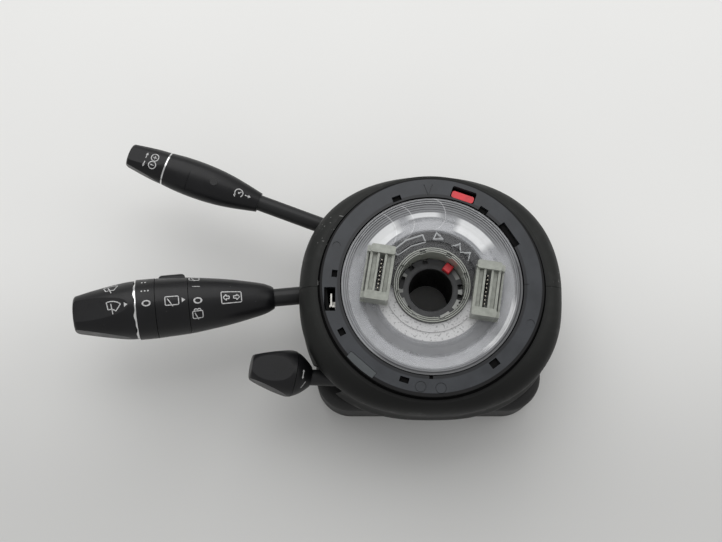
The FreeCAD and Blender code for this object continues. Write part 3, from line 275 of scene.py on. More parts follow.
def shade(base, factor):
    """A colour made lighter or darker by a factor."""
    return tuple(min(1.0, channel * factor) for channel in base)


def dress(finish, *nodes):
    """Gives a finish to pieces of the frame."""
    for name in nodes:
        slots = frame["nodes"][name].data.materials
        slots.clear()
        slots.append(finish.material)


def finishes():
    """The colours chosen in the panel."""
    return bpy.context.scene.clock_spring_finishes


def moulded(name, base, roughness, grain, depth, cloud=18.0, gloss=0.4):
    """Moulded plastic: cloudy tint, fine grain and uneven gloss; grain, depth and cloud in millimetres."""
    finish = Finish(name)
    patches = finish.noise(cloud, 3.0)
    texture = finish.noise(grain, 2.0)
    finish.put(base_color=finish.cloudy(patches, base, 0.86, 1.16), specular_ior_level=gloss,
               roughness=roughness + (patches - 0.5) * 0.16 + (texture - 0.5) * 0.10)
    return finish.bump(texture, depth)


def polar(radius, turn):
    """A point from its radius and its turn in degrees."""
    return Vector((math.cos(math.radians(turn)), math.sin(math.radians(turn)))) * radius


def lathe(outline, steps):
    """A ring round the Z axis in millimetres, of a closed outline of radii and levels."""
    mesh = bmesh.new()
    verts = [mesh.verts.new((0, radius, level)) for radius, level in outline]
    edges = [mesh.edges.new(pair) for pair in zip(verts, verts[1:] + verts[:1])]
    bmesh.ops.spin(mesh, geom=verts + edges, cent=(0, 0, 0), axis=(0, 0, 1), angle=2 * math.pi, steps=steps,
                   use_merge=True, use_duplicate=False)
    return mesh


def new_object(name, mesh, finish):
    """Makes an object of a bmesh and gives it a finish."""
    data = bpy.data.meshes.new(name)
    mesh.to_mesh(data)
    mesh.free()
    data.materials.append(finish.material)
    piece = bpy.data.objects.new(name, data)
    bpy.context.scene.collection.objects.link(piece)
    return piece


def new_piece(name, mesh, finish, body):
    """Makes a solid piece of a closed bmesh, on a body and with its material slot."""
    bmesh.ops.recalc_face_normals(mesh, faces=mesh.faces)
    piece = new_object(name, mesh, finish)
    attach(piece, body)
    return piece


class CLOCKSPRING_OT_collar(bpy.types.Operator):
    """Soft-touch paint on the two halves of the collar, with fine scuffs by the seam and the stalk"""

    bl_idname = "clockspring.collar"
    bl_label = "Collar"

    # Scuffs by the seam at the right: X and Z at which they start and are full, middle and half width along Y
    seam_x = (61.0, 63.0)
    seam_z = (58.0, 62.0)
    seam_y = (3.0, 9.0)
    # Scuffs by the upper stalk: middle and half width along X and along Y
    stalk_x = (-54.0, 12.0)
    stalk_y = (33.0, 13.0)
    # The lip is paler between two depths below the top, and the collar falls into shade between two Y
    lip_depths = (1.2, 0.2)
    shade_y = (-14.0, -62.0)
    scuff_colour = (0.34, 0.34, 0.33)

    def execute(self, context):
        base = tuple(finishes().collar)
        finish = Finish("soft_paint")
        patches = finish.noise(26.0, 3.0)
        grain = finish.noise(0.32, 2.0)
        rubbed = finish.noise(7.0, 4.0, shift=(3.0, 1.0, 5.0)).ramp(0.52, 0.74)
        lines = finish.noise(1.1, 3.0, stretch=(1.0, 0.22, 1.0)).ramp(0.66, 0.72)
        streaks = finish.noise(0.9, 2.0, stretch=(0.25, 1.0, 1.0), shift=(9.0, 4.0, 2.0)).ramp(0.67, 0.73)
        seam = finish.x.ramp(*self.seam_x) * finish.y.near(*self.seam_y) * finish.z.ramp(*self.seam_z)
        stalk = finish.x.near(*self.stalk_x) * finish.y.near(*self.stalk_y)
        scuffs = (lines * seam + streaks * stalk).cap()
        lip = finish.z.below(COLLAR_TOP, *self.lip_depths)
        tint = finish.cloudy(patches, base, 0.88, 1.14)
        tint = finish.mix(rubbed * 0.35, tint, shade(base, 1.7))
        tint = finish.mix(lip * 0.3, tint, shade(base, 1.8))
        tint = finish.mix(finish.y.ramp(*self.shade_y) * 0.9, tint, shade(base, 0.3))
        tint = finish.mix(scuffs * 0.8, tint, self.scuff_colour)
        finish.put(base_color=tint, roughness=0.54 + (patches - 0.5) * 0.14 - rubbed * 0.12,
                   specular_ior_level=0.24)
        finish.bump(grain * 0.7 + rubbed * 0.15, 0.012)
        dress(finish, "collar_upper", "collar_lower")
        return {"FINISHED"}


class CLOCKSPRING_OT_ring(bpy.types.Operator):
    """Satin face ring with its cover plate, the dark cup that holds it and a dust seal round it"""

    bl_idname = "clockspring.ring"
    bl_label = "Face ring"

    # The rim falls into a dark groove between two depths inside it, on a line that leans a little with Y, and
    # the wall of the opening darkens between two radii; the dark in both places is painted shade
    groove_depths = (1.4, 1.0)
    groove_lean = 0.008
    opening_edge = (51.2, 50.5)
    dust_colour = (0.18, 0.18, 0.18)
    gap_shade_colour = (0.003, 0.003, 0.0035)
    # Dust seal between the cup and the collar, in millimetres: radii and levels
    seal_radii = (58.05, 61.25)
    seal_levels = (66.0, 66.6)
    seal_steps = 120

    def execute(self, context):
        base = tuple(finishes().ring)
        finish = Finish("ring_satin")
        patches = finish.noise(14.0, 4.0)
        grain = finish.noise(0.25, 2.0)
        dust = finish.noise(1.6, 5.0, shift=(2.0, 7.0, 0.0)).ramp(0.66, 0.80)
        radius = finish.radius()
        groove = (radius - finish.y * self.groove_lean).below(RING_RADIUS, *self.groove_depths)
        inner = radius.ramp(*self.opening_edge)
        tint = finish.cloudy(patches, base, 0.84, 1.16)
        tint = finish.mix(dust * 0.30, tint, self.dust_colour)
        # Painted shade: the groove and the wall of the opening go nearly black
        tint = finish.mix((groove + inner * 0.7).cap(), tint, self.gap_shade_colour)
        finish.put(base_color=tint, roughness=0.34 + (patches - 0.5) * 0.18 + dust * 0.2 + groove * 0.4,
                   specular_ior_level=0.36)
        finish.bump(grain + dust * 0.3 - groove * 6.0, 0.006)
        dress(finish, "stator_ring")
        dress(moulded("plate_satin", finishes().plate, 0.34, 0.5, 0.006), "ring_cover_plate")
        black = moulded("pan_black", shade(finishes().housing, 0.4), 0.7, 0.4, 0.01, gloss=0.12)
        dress(black, "stator_pan")
        self.seal(black)
        return {"FINISHED"}

    def seal(self, finish):
        """Thin dark ring that closes the gap round the face ring from below."""
        inner, outer = self.seal_radii
        low, high = self.seal_levels
        mesh = lathe(((inner, low), (outer, low), (outer, high), (inner, high)), self.seal_steps)
        bmesh.ops.transform(mesh, matrix=Matrix.Scale(MM, 4), verts=mesh.verts)
        new_piece("dust_seal", mesh, finish, "root")


class CLOCKSPRING_OT_rotor(bpy.types.Operator):
    """Clear rotor with fine rings, flow lines and a frosted floor, over its silvery film"""

    bl_idname = "clockspring.rotor"
    bl_label = "Clear rotor"

    # Zones of the dish: the radii in millimetres at which each starts to show and is full
    rim_edge = (44.9, 45.3)
    step_edge = (41.4, 41.8)
    shadow_edge = (46.4, 46.8)
    floor_edges = ((30.9, 30.3), (20.4, 20.9))
    hub_edge = (21.2, 20.6)
    # Zones between two radii, and the turns in degrees or the span along Y that end them
    crescent_radii = (43.2, 46.3)
    crescent_turns = (-58.0, -4.0)
    shadow_turns = (-140.0, 30.0)
    bowl_radii = (30.6, 39.5)
    bowl_shade_y = (-2.0, -16.0)
    upper_y = (12.0, 26.0)
    # The recess is dark above a slanted line and pale below it: slope, and the span along Y of the change
    slope = 0.16
    divide = (-2.0, -9.0)
    # Distance in millimetres from one fine ring of the rim and of the hub's wall to the next
    ring_pitch = 1.15
    arc_pitch = 1.05
    pale_colour = (0.88, 0.89, 0.90)
    rib_colour = (0.55, 0.57, 0.58)
    floor_colour = (0.78, 0.78, 0.78)
    hub_colour = (0.06, 0.06, 0.055)
    flow_colour = (0.80, 0.80, 0.82)

    # Flow lines, each the right side of a circle: centre x, centre y and radius in millimetres
    flow_lines = ((-29.8, 29.1, 11.1), (-18.9, 34.7, 9.9), (-0.9, 39.7, 9.1))
    # Pale ribs that show against the dark upper recess, each from a radius and turn to another
    rib_lines = ((24.5, 97, 24.5, 116), (24.5, 116, 24.8, 137), (28.8, 99, 28.8, 118), (28.8, 118, 28.6, 137),
                 (24.5, 97, 28.8, 99), (24.8, 137, 28.6, 137), (26.1, 87, 29.8, 84), (29.8, 84, 26.8, 76),
                 (26.1, 87, 26.8, 76), (24.5, 63, 28.0, 56), (28.0, 56, 24.2, 49), (24.2, 49, 28.0, 41),
                 (28.0, 41, 24.2, 35), (23.5, 152, 28.5, 158), (28.5, 158, 23.5, 165))

    # Patches of painted reflection of the lamp on the upper dish: turns in degrees and radii in millimetres
    # between which each lies
    reflection_patches = ((30.0, 72.0, 32.6, 41.2), (113.0, 150.0, 33.4, 41.4), (78.0, 112.0, 38.4, 41.4))

    def execute(self, context):
        base = tuple(finishes().clear)
        finish = Finish("clear_moulding")
        radius = finish.radius()
        turn = finish.turn()
        top = finish.y.ramp(*self.upper_y)
        ringed = (radius.ramp(*self.rim_edge) + radius.ramp(*self.step_edge) * top).cap()
        rings = radius.wave(self.ring_pitch).ramp(0.0, 0.6) * ringed * (top * 0.6 + 0.4)
        shadowed = radius.ramp(*self.shadow_edge) * turn.band(*self.shadow_turns, 20.0)
        crescent = radius.band(*self.crescent_radii, 0.6) * turn.band(*self.crescent_turns, 14.0)
        outer, inner = self.floor_edges
        floor = radius.ramp(*outer) * radius.ramp(*inner)
        hub = radius.ramp(*self.hub_edge)
        lower = (finish.y + finish.x * self.slope).ramp(*self.divide)
        # Painted shade: the bowl of the dish darkens towards its lower side
        bowl_shade = radius.band(*self.bowl_radii, 2.5) * finish.y.ramp(*self.bowl_shade_y)
        cloud = finish.noise(6.0, 4.0)
        fine = finish.noise(1.2, 3.0, shift=(4.0, 4.0, 0.0))
        lines = self.flow(finish) * top
        # Painted reflection: pale patches on the upper dish, clouded at their edges
        haze = sum(turn.band(first, last, 9.0) * radius.band(near, far, 0.5)
                   for first, last, near, far in self.reflection_patches)
        haze = haze * (cloud.ramp(0.2, 0.5) * 0.3 + 0.7)
        arcs = radius.wave(self.arc_pitch).ramp(0.1, 0.5) * hub
        frosted = floor * lower
        dark = floor * (1.0 - lower)
        speckle = fine.ramp(0.57, 0.63) * frosted
        ribs = self.ribs(finish) * dark
        tint = finish.cloudy(cloud, base, 0.92, 1.06)
        tint = finish.mix(bowl_shade * 0.75, tint, shade(base, 0.45))
        tint = finish.mix(haze, tint, self.pale_colour)
        tint = finish.mix(ringed * 0.4, tint, shade(base, 0.5))
        tint = finish.mix(rings * 0.8, tint, shade(base, 0.06))
        tint = finish.mix(shadowed * 0.8, tint, shade(base, 0.08))
        tint = finish.mix(crescent * 0.8, tint, self.pale_colour)
        tint = finish.mix(dark * 0.9, tint, shade(base, 0.08))
        tint = finish.mix(ribs * 0.85, tint, self.rib_colour)
        tint = finish.mix(frosted * 0.85, tint, self.floor_colour)
        tint = finish.mix(speckle * 0.6, tint, shade(base, 0.3))
        tint = finish.mix(hub * 0.8, tint, self.hub_colour)
        tint = finish.mix(arcs * 0.9, tint, shade(finishes().milky, 1.5))
        tint = finish.mix(lines * 0.45, tint, self.flow_colour)
        alpha = 0.36 + ringed * 0.2 + rings * 0.3 + shadowed * 0.4 + crescent * 0.3 + lines * 0.15
        alpha = alpha + haze * 0.4 + frosted * 0.36 + bowl_shade * 0.2 + arcs * 0.4 + ribs * 0.4
        alpha = alpha + (fine - 0.5) * 0.10 * floor
        finish.put(base_color=tint, alpha=alpha.cap(), ior=1.49, coat_weight=0.5, coat_roughness=0.06,
                   roughness=0.22 + (cloud - 0.5) * 0.12 + frosted * 0.25)
        relief = cloud * 0.4 + rings * 0.5 + lines * 0.3 + fine * frosted * 0.6 + arcs * 0.4 + ribs * 0.5
        finish.bump(relief, 0.10)
        dress(finish, "rotor_shell")
        self.film()
        return {"FINISHED"}

    def flow(self, finish):
        """The thin flow lines."""
        lines = 0.0
        for x, y, reach in self.flow_lines:
            dx = finish.x - x
            dy = finish.y - y
            within = reach - (dx * dx + dy * dy) ** 0.5
            lines = abs(within).ramp(0.34, 0.10) * dx.ramp(reach * 0.1, reach * 0.5) + lines
        return lines.cap()

    def ribs(self, finish):
        """The pale ribs as thin straight lines."""
        total = 0.0
        for first, first_turn, second, second_turn in self.rib_lines:
            start = polar(first, first_turn)
            line = polar(second, second_turn) - start
            way = line.normalized()
            dx = finish.x - start.x
            dy = finish.y - start.y
            across = dx * -way.y + dy * way.x
            along = dx * way.x + dy * way.y
            total = across.near(0.0, 0.42) * along.band(-0.3, line.length + 0.3, 0.2) + total
        return total.cap()

    # Film: radii at which its inner field starts and is full, distance between its drawing marks, both in
    # millimetres, and the turns and half width of its two dark spokes in degrees
    film_edge = (31.0, 30.2)
    film_pitch = 0.46
    spoke_turns = (-50.0, -118.0)
    spoke_half = 1.0
    film_dark = (0.030, 0.032, 0.038)
    spoke_colour = (0.05, 0.05, 0.055)

    def film(self):
        """Silvery film with concentric drawing marks, dark above the hub, pale with two spokes below it."""
        base = tuple(finishes().film)
        finish = Finish("silver_film")
        radius = finish.radius()
        turn = finish.turn()
        drawn = radius.wave(self.film_pitch)
        cloud = finish.noise(11.0, 3.0)
        inside = radius.ramp(*self.film_edge)
        upper = (finish.y + finish.x * self.slope).ramp(*reversed(self.divide))
        spokes = sum(turn.near(middle, self.spoke_half) for middle in self.spoke_turns)
        tint = finish.cloudy(cloud, base, 0.88, 1.08)
        tint = finish.mix(inside * upper * 0.93, tint, self.film_dark)
        tint = finish.mix(inside * (1.0 - upper) * spokes * 0.8, tint, self.spoke_colour)
        finish.put(base_color=tint, metallic=0.85 - inside * 0.6,
                   roughness=0.34 + (cloud - 0.5) * 0.16 + inside * 0.1)
        finish.bump(drawn * 0.5 + cloud * 0.8, 0.03)
        dress(finish, "glide_film")


class CLOCKSPRING_OT_towers(bpy.types.Operator):
    """Milky connector towers with thin webs, and the contacts of all plugs"""

    bl_idname = "clockspring.towers"
    bl_label = "Connector towers"

    # Heights over the rotor between which the plastic grows paler, in millimetres
    pale_rise = (1.0, 9.0)
    # Webs over the side pockets, in millimetres: spans from the steering axis, levels, half length and bevel;
    # and the turn of the towers in degrees
    web_spans = ((23.6, 25.7), (31.1, 33.4))
    web_levels = (78.15, 78.75)
    web_half = 10.3
    web_bevel = 0.12
    tower_turn = -9.0

    def execute(self, context):
        base = tuple(finishes().milky)
        finish = Finish("milky_moulding")
        cloud = finish.noise(2.6, 4.0)
        fine = finish.noise(0.7, 3.0)
        height = finish.z.ramp(*(ROTOR_TOP + rise for rise in self.pale_rise))
        tint = finish.mix(cloud.ramp(0.32, 0.68), shade(base, 0.88), shade(base, 1.14))
        tint = finish.mix(height * 0.3, tint, shade(base, 1.2))
        finish.put(base_color=tint, alpha=0.70 + height * 0.10 + (cloud - 0.5) * 0.2, ior=1.49,
                   coat_weight=0.4, coat_roughness=0.2, roughness=0.34 + (fine - 0.5) * 0.2)
        finish.bump(cloud * 0.6 + fine * 0.4, 0.06)
        dress(finish, "connector_left", "connector_right")
        self.webs(finish)
        contacts = moulded("contact_tin", (0.42, 0.40, 0.34), 0.32, 0.6, 0.004)
        contacts.put(metallic=1.0)
        dress(contacts, "terminal_pins", "harness_pins")
        return {"FINISHED"}

    def webs(self, finish):
        """Thin webs that close the side pockets of both towers just under the top of their walls."""
        mesh = bmesh.new()
        low, high = self.web_levels
        for side in (0, 1):
            turn = Matrix.Rotation(math.radians(self.tower_turn + 180 * side), 4, "Z")
            for near, far in self.web_spans:
                centre = Matrix.Translation(((near + far) / 2 * MM, 0, (low + high) / 2 * MM))
                size = Matrix.Diagonal(((far - near) * MM, 2 * self.web_half * MM, (high - low) * MM, 1))
                bmesh.ops.create_cube(mesh, size=1.0, matrix=turn @ centre @ size)
        bmesh.ops.bevel(mesh, geom=mesh.edges[:], offset=self.web_bevel * MM, affect="EDGES", segments=2,
                        profile=0.5, material=-1)
        new_piece("tower_webs", mesh, finish, "rotor")


class CLOCKSPRING_OT_hub(bpy.types.Operator):
    """Sensor hub, code disc, retainer and the red lock pieces"""

    bl_idname = "clockspring.hub"
    bl_label = "Hub and locks"

    # Teeth and bore, in millimetres: radii at which each starts to show and is full, and for the bore and the
    # worn top also the depths; turn of one tooth in degrees
    tooth_edge = (13.2, 12.4)
    tooth_turn = 4.5
    bore_edge = (12.5, 12.1)
    bore_depths = (0.8, 3.0)
    worn_depths = (0.6, 0.05)
    # Pale arcs of the top: radii, turn from one to the next and shift in degrees
    arc_radii = (14.9, 17.4)
    arc_turn = 31.0
    arc_shift = 7.0
    arc_colour = (0.50, 0.51, 0.49)
    # Nearly black colour of the painted shade deep in the bore
    bore_shade_colour = (0.002, 0.002, 0.002)

    def execute(self, context):
        base = tuple(finishes().hub)
        finish = Finish("hub_satin")
        radius = finish.radius()
        turn = finish.turn()
        patches = finish.noise(3.2, 4.0)
        teeth = turn.wave(self.tooth_turn) * radius.ramp(*self.tooth_edge)
        worn = finish.z.below(HUB_TOP, *self.worn_depths)
        # Painted shade: the bore goes nearly black below its rim
        bore_shade = radius.ramp(*self.bore_edge) * finish.z.below(HUB_TOP, *self.bore_depths)
        side = (finish.x * 0.8 - finish.y).ramp(-4.0, 9.0) + finish.x.ramp(-11.0, -14.0) * 0.7
        arcs = (turn + self.arc_shift).wave(self.arc_turn).ramp(-0.55, -0.35)
        pale = radius.band(*self.arc_radii, 0.25) * side.cap() * arcs
        tint = finish.cloudy(patches, base, 0.6, 1.2)
        tint = finish.mix(worn * 0.2, tint, shade(base, 2.2))
        tint = finish.mix(pale * worn * 0.7, tint, self.arc_colour)
        tint = finish.mix(bore_shade * 0.95, tint, self.bore_shade_colour)
        finish.put(base_color=tint, roughness=0.38 + (patches - 0.5) * 0.2 + bore_shade * 0.3)
        finish.bump(patches * 0.4 + teeth * 0.6, 0.12)
        dress(finish, "sensor_hub")
        dress(moulded("disc_black", (0.02, 0.02, 0.021), 0.5, 0.5, 0.006), "code_disc", "rotor_retainer")
        red = moulded("lock_red", finishes().lock, 0.36, 0.7, 0.01, 5.0)
        red.put(coat_weight=0.3, coat_roughness=0.2)
        dress(red, "lock_tab", "centre_lock")
        return {"FINISHED"}


class CLOCKSPRING_OT_housing(bpy.types.Operator):
    """Rear housing, cover, chassis, switch blocks, plug sockets and light gate"""

    bl_idname = "clockspring.housing"
    bl_label = "Housing"

    def execute(self, context):
        base = tuple(finishes().housing)
        outer = moulded("housing_grain", base, 0.56, 0.55, 0.03)
        dress(outer, "rear_housing", "rear_cover")
        inner = moulded("chassis_black", shade(base, 0.8), 0.5, 0.4, 0.015)
        dress(inner, "main_chassis", "cruise_switch", "combi_switch", "adjuster_switch")
        dress(moulded("socket_black", shade(base, 0.7), 0.4, 0.3, 0.008), "harness_sockets", "sensor_fork")
        return {"FINISHED"}


class CLOCKSPRING_OT_works(bpy.types.Operator):
    """Inner pieces: gimbals, spindle, plungers, circuit board, ribbon, screws and leaf spring"""

    bl_idname = "clockspring.works"
    bl_label = "Inner works"

    def execute(self, context):
        acetal = moulded("acetal_black", (0.016, 0.016, 0.017), 0.38, 0.5, 0.006, 6.0)
        dress(acetal, "cruise_gimbal", "combi_gimbal", "adjuster_gimbal", "wiper_spindle")
        dress(moulded("acetal_white", (0.60, 0.60, 0.55), 0.32, 0.5, 0.006, 6.0), "cruise_plunger",
              "combi_plunger", "adjuster_plunger")
        board = Finish("board_green")
        tracks = board.x.wave(1.6).ramp(0.55, 0.8) * board.noise(9.0, 1.0).ramp(0.42, 0.5)
        tint = board.mix(tracks, (0.012, 0.09, 0.035), (0.03, 0.19, 0.075))
        board.put(base_color=tint, roughness=0.34 + tracks * 0.12)
        board.bump(tracks, 0.03)
        dress(board, "circuit_board")
        dress(moulded("chip_black", (0.018, 0.018, 0.019), 0.46, 0.25, 0.01), "board_components")
        ribbon = Finish("ribbon_laminate")
        stripes = ribbon.z.wave(2.0).ramp(0.2, 0.5)
        ribbon.put(base_color=ribbon.mix(stripes, (0.020, 0.021, 0.028), (0.055, 0.056, 0.066)),
                   roughness=0.26 + stripes * 0.08)
        ribbon.bump(stripes, 0.03)
        dress(ribbon, "ribbon_cable")
        steel = Finish("zinc_steel")
        bloom = steel.noise(1.4, 4.0)
        steel.put(base_color=steel.mix(bloom.ramp(0.3, 0.7), (0.42, 0.41, 0.38), (0.62, 0.61, 0.58)),
                  metallic=1.0, roughness=0.30 + bloom * 0.2)
        steel.bump(bloom, 0.01)
        dress(steel, "cover_screws", "chassis_screws", "collar_screws", "lock_spring")
        return {"FINISHED"}


class CLOCKSPRING_OT_grips(bpy.types.Operator):
    """Satin grips and levers of the three stalks, with the smoked lamp lens and the bright rings"""

    bl_idname = "clockspring.grips"
    bl_label = "Stalk grips"

    # Bright ring of the wiper knob, in millimetres: radii, chamfer, width, and height of its waves
    trim_inner = 15.2
    trim_outer = 16.09
    trim_chamfer = 0.12
    trim_width = 1.0
    trim_wave = 0.34
    # Waves of its edge: how many go round, their share of the height, and their shift in radians
    trim_waves = ((7, 1.0, 0.0), (17, 0.6, 1.0))
    trim_steps = 144

    def execute(self, context):
        base = tuple(finishes().grip)
        finish = Finish("grip_satin")
        patches = finish.noise(13.0, 3.0)
        grain = finish.noise(0.28, 2.0)
        touch = finish.noise(5.0, 4.0, shift=(6.0, 2.0, 1.0)).ramp(0.50, 0.72)
        nicks = finish.noise(0.9, 4.0, stretch=(0.4, 1.0, 1.0), shift=(1.0, 8.0, 3.0)).ramp(0.735, 0.765)
        tint = finish.cloudy(patches, base, 0.85, 1.2)
        tint = finish.mix(nicks * 0.5, tint, (0.30, 0.30, 0.30))
        finish.put(base_color=tint, specular_ior_level=0.30,
                   roughness=0.37 + (patches - 0.5) * 0.12 - touch * 0.09 + (grain - 0.5) * 0.1)
        finish.bump(grain, 0.008)
        dress(finish, "cruise_handle", "cruise_end_cap", "combi_handle", "rear_wiper_ring", "mark_ring",
              "wiper_knob", "adjuster_base", "adjuster_knob")
        dress(moulded("lever_satin", finishes().lever, 0.46, 0.35, 0.012), "cruise_lever", "combi_lever",
              "adjuster_lever")
        shine = bright("trim_bright")
        dress(shine, "cruise_trim", "wiper_trim")
        self.wavy_trim(shine)
        lens = moulded("lamp_smoke", (0.006, 0.006, 0.0064), 0.26, 0.5, 0.003, 3.0, gloss=0.3)
        dress(lens, "cruise_lamp")
        return {"FINISHED"}

    def wavy_trim(self, finish):
        """Bright ring of the wiper knob with a wavy edge towards the knob, in place of the plain one."""
        knob = Grip("rear_ring_turn", "rear_ring_turn", 1, "wiper_trim")
        plain = frame["nodes"]["wiper_trim"].data.vertices
        start = min((vert.co - knob.origin).dot(knob.out) for vert in plain) / MM
        mesh = lathe(((self.trim_inner, 0), (self.trim_outer - self.trim_chamfer, 0),
                      (self.trim_outer, self.trim_chamfer), (self.trim_outer, self.trim_width),
                      (self.trim_inner, self.trim_width)), self.trim_steps)
        for vert in mesh.verts:
            turn = math.atan2(vert.co.y, vert.co.x)
            wave = sum(share * math.sin(count * turn + shift) for count, share, shift in self.trim_waves)
            vert.co.z += self.trim_wave * wave * vert.co.z / self.trim_width
        place = Matrix((knob.side, knob.up, knob.out)).transposed().to_4x4()
        place.translation = knob.origin + knob.out * start * MM
        bmesh.ops.transform(mesh, matrix=place @ Matrix.Scale(MM, 4), verts=mesh.verts)
        piece = new_piece("wavy_trim", mesh, finish, "wiper_press")
        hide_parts("wiper_trim")


def bright(name):
    """Polished trim with a trace of haze."""
    finish = Finish(name)
    haze = finish.noise(4.0, 3.0)
    finish.put(base_color=finish.mix(haze.ramp(0.3, 0.7), (0.66, 0.66, 0.66), (0.80, 0.80, 0.80)),
               metallic=1.0, roughness=0.12 + haze * 0.10)
    return finish.bump(haze, 0.01)


class Grip:
    """The round surface of a stalk: distances out from a joint, and turns from its upper side."""

    # Distance in metres from the axis at which a line to the grip starts, outside all grips
    outside = 0.05

    def __init__(self, axis_joint, pivot_joint, sign, *nodes):
        self.out = (Vector(JOINTS[axis_joint]["axis"]) * sign).normalized()
        self.origin = Vector(JOINTS[pivot_joint]["pos_m"])
        upright = Vector((0, 0, 1))
        self.up = (upright - self.out * upright.dot(self.out)).normalized()
        self.side = self.up.cross(self.out)
        solid = bmesh.new()
        for name in nodes:
            solid.from_mesh(frame["nodes"][name].data)
        self.tree = BVHTree.FromBMesh(solid)
        solid.free()

    def spot(self, along, turn):
        """Where a line from outside meets the grip, and the normal there."""
        way = self.up * math.cos(turn) + self.side * math.sin(turn)
        start = self.origin + self.out * along + way * self.outside
        place, normal, _, _ = self.tree.ray_cast(start, -way)
        if place is None:
            raise RuntimeError("a mark lies beside its grip")
        return place, normal

    def reach(self, along, turn):
        """Radius of the grip at a spot."""
        place, _ = self.spot(along, turn)
        offset = place - self.origin
        return (offset - self.out * offset.dot(self.out)).length


class Print:
    """Flat marks, drawn in millimetres as the driver sees them and wrapped onto a grip."""

    # Marks are cut up to follow the grip: a line's pieces in millimetres, an arc's in degrees with their
    # least number, and the cuts along a triangle's sides
    line_piece = 0.4
    arc_piece = 15
    arc_least = 4
    triangle_cuts = 3

    def __init__(self, grip, name):
        self.grip = grip
        self.name = name
        self.mesh = bmesh.new()
        self.options = bpy.context.scene.clock_spring_marks
        self.stroke = self.options.stroke / MM

    def bar(self, x0, y0, x1, y1, stroke=None):
        """A straight line."""
        start = Vector((x0, y0, 0))
        line = Vector((x1, y1, 0)) - start
        turn = Matrix.Rotation(math.atan2(line.y, line.x), 4, "Z")
        size = Matrix.Diagonal((line.length, stroke or self.stroke, 1, 1))
        pieces = max(1, round(line.length / self.line_piece))
        bmesh.ops.create_grid(self.mesh, x_segments=pieces, y_segments=1, size=0.5,
                              matrix=Matrix.Translation(start + line / 2) @ turn @ size)

    def path(self, *points):
        """Lines from point to point."""
        for (x0, y0), (x1, y1) in zip(points, points[1:]):
            self.bar(x0, y0, x1, y1)

    def arc(self, x, y, radius, start=0.0, end=360.0, squeeze=1.0, stroke=None):
        """Part of a circle or, with a squeeze, of an oval."""
        half = (stroke or self.stroke) / 2
        first = self.mesh.verts.new((x + radius - half, y, 0))
        second = self.mesh.verts.new((x + radius + half, y, 0))
        edge = self.mesh.edges.new((first, second))
        before = set(self.mesh.verts)
        centre = Vector((x, y, 0))
        begin = Matrix.Rotation(math.radians(start), 4, "Z")
        bmesh.ops.rotate(self.mesh, verts=[first, second], cent=centre, matrix=begin)
        whole = end - start >= 360
        steps = max(self.arc_least, round((end - start) / self.arc_piece))
        bmesh.ops.spin(self.mesh, geom=[first, second, edge], cent=centre, axis=(0, 0, 1),
                       angle=math.radians(end - start), steps=steps, use_merge=whole, use_duplicate=False)
        made = [v for v in self.mesh.verts if v not in before] + [first, second]
        bmesh.ops.transform(self.mesh, matrix=Matrix.Diagonal((squeeze, 1, 1, 1)),
                            space=Matrix.Translation(-centre), verts=[v for v in made if v.is_valid])

    def patch(self, x, y, radius, sides=16, turn=0.0, squeeze=1.0):
        """A filled disc, or with three sides a triangle, whose inner points let it follow the grip."""
        place = Matrix.Translation((x, y, 0)) @ Matrix.Rotation(math.radians(turn), 4, "Z")
        made = bmesh.ops.create_circle(self.mesh, cap_ends=True, cap_tris=True, segments=sides, radius=radius,
                                       matrix=place @ Matrix.Diagonal((1, squeeze, 1, 1)))
        if sides == 3:
            edges = {edge for vert in made["verts"] for edge in vert.link_edges}
            bmesh.ops.subdivide_edges(self.mesh, edges=list(edges), cuts=self.triangle_cuts,
                                      use_grid_fill=True)

    def place(self, draw, along, turn, tilt):
        """Draws a mark and wraps it onto the grip, along in millimetres, turn and tilt in degrees."""
        whole = self.mesh
        self.mesh = bmesh.new()
        draw(self)
        self.mesh.normal_update()
        bmesh.ops.reverse_faces(self.mesh, faces=[f for f in self.mesh.faces if f.normal.z < 0])
        flat = Matrix.Rotation(math.pi + math.radians(tilt), 4, "Z")
        radius = self.grip.reach(along * MM, math.radians(turn)) / MM
        for vert in self.mesh.verts:
            spot = flat @ vert.co
            hit, normal = self.grip.spot((along + spot.x) * MM, math.radians(turn) + spot.y / radius)
            vert.co = hit + normal * self.options.lift
        part = bpy.data.meshes.new(self.name)
        self.mesh.to_mesh(part)
        self.mesh.free()
        self.mesh = whole
        self.mesh.from_mesh(part)
        bpy.data.meshes.remove(part)

    def finish(self, body, paint):
        """Makes the printed piece, as thick as its ink, on a body."""
        piece = new_object(self.name, self.mesh, paint)
        solidify = piece.modifiers.new("ink", "SOLIDIFY")
        solidify.thickness = self.options.depth
        solidify.offset = 1.0
        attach(piece, body)


def ink():
    """Pale printing ink, thinner in places."""
    base = tuple(finishes().mark)
    finish = Finish("print_ink")
    thin = finish.noise(0.8, 3.0)
    tint = finish.mix(thin.ramp(0.35, 0.62), shade(base, 0.55), base)
    return finish.put(base_color=tint, roughness=0.5 + thin * 0.2)


def minus(draw):
    """A minus in a circle."""
    draw.arc(0, 0, 2.1)
    draw.bar(-1.0, 0, 1.0, 0)


def plus(draw):
    """A plus in a circle."""
    minus(draw)
    draw.bar(0, -1.0, 0, 1.0)


def small_arrow(draw):
    """A short arrow along the push of the stalk."""
    draw.patch(0, 0.9, 0.9, 3, 0)
    draw.bar(0, -1.5, 0, 0.6, 0.5)


def gauge(draw):
    """A dial with a hand."""
    draw.arc(0, 0, 2.3, -50, 230)
    draw.bar(0, 0, 1.2, 1.1)
    draw.patch(0, 0, 0.55)
    draw.bar(-2.5, -1.6, -1.5, -2.5)


def side_arrow(draw):
    """A small arrow head pointing along the stalk."""
    draw.patch(0.6, 0, 1.1, 3, -90, 0.9)
    draw.bar(-1.8, 0, 0.2, 0, 0.5)


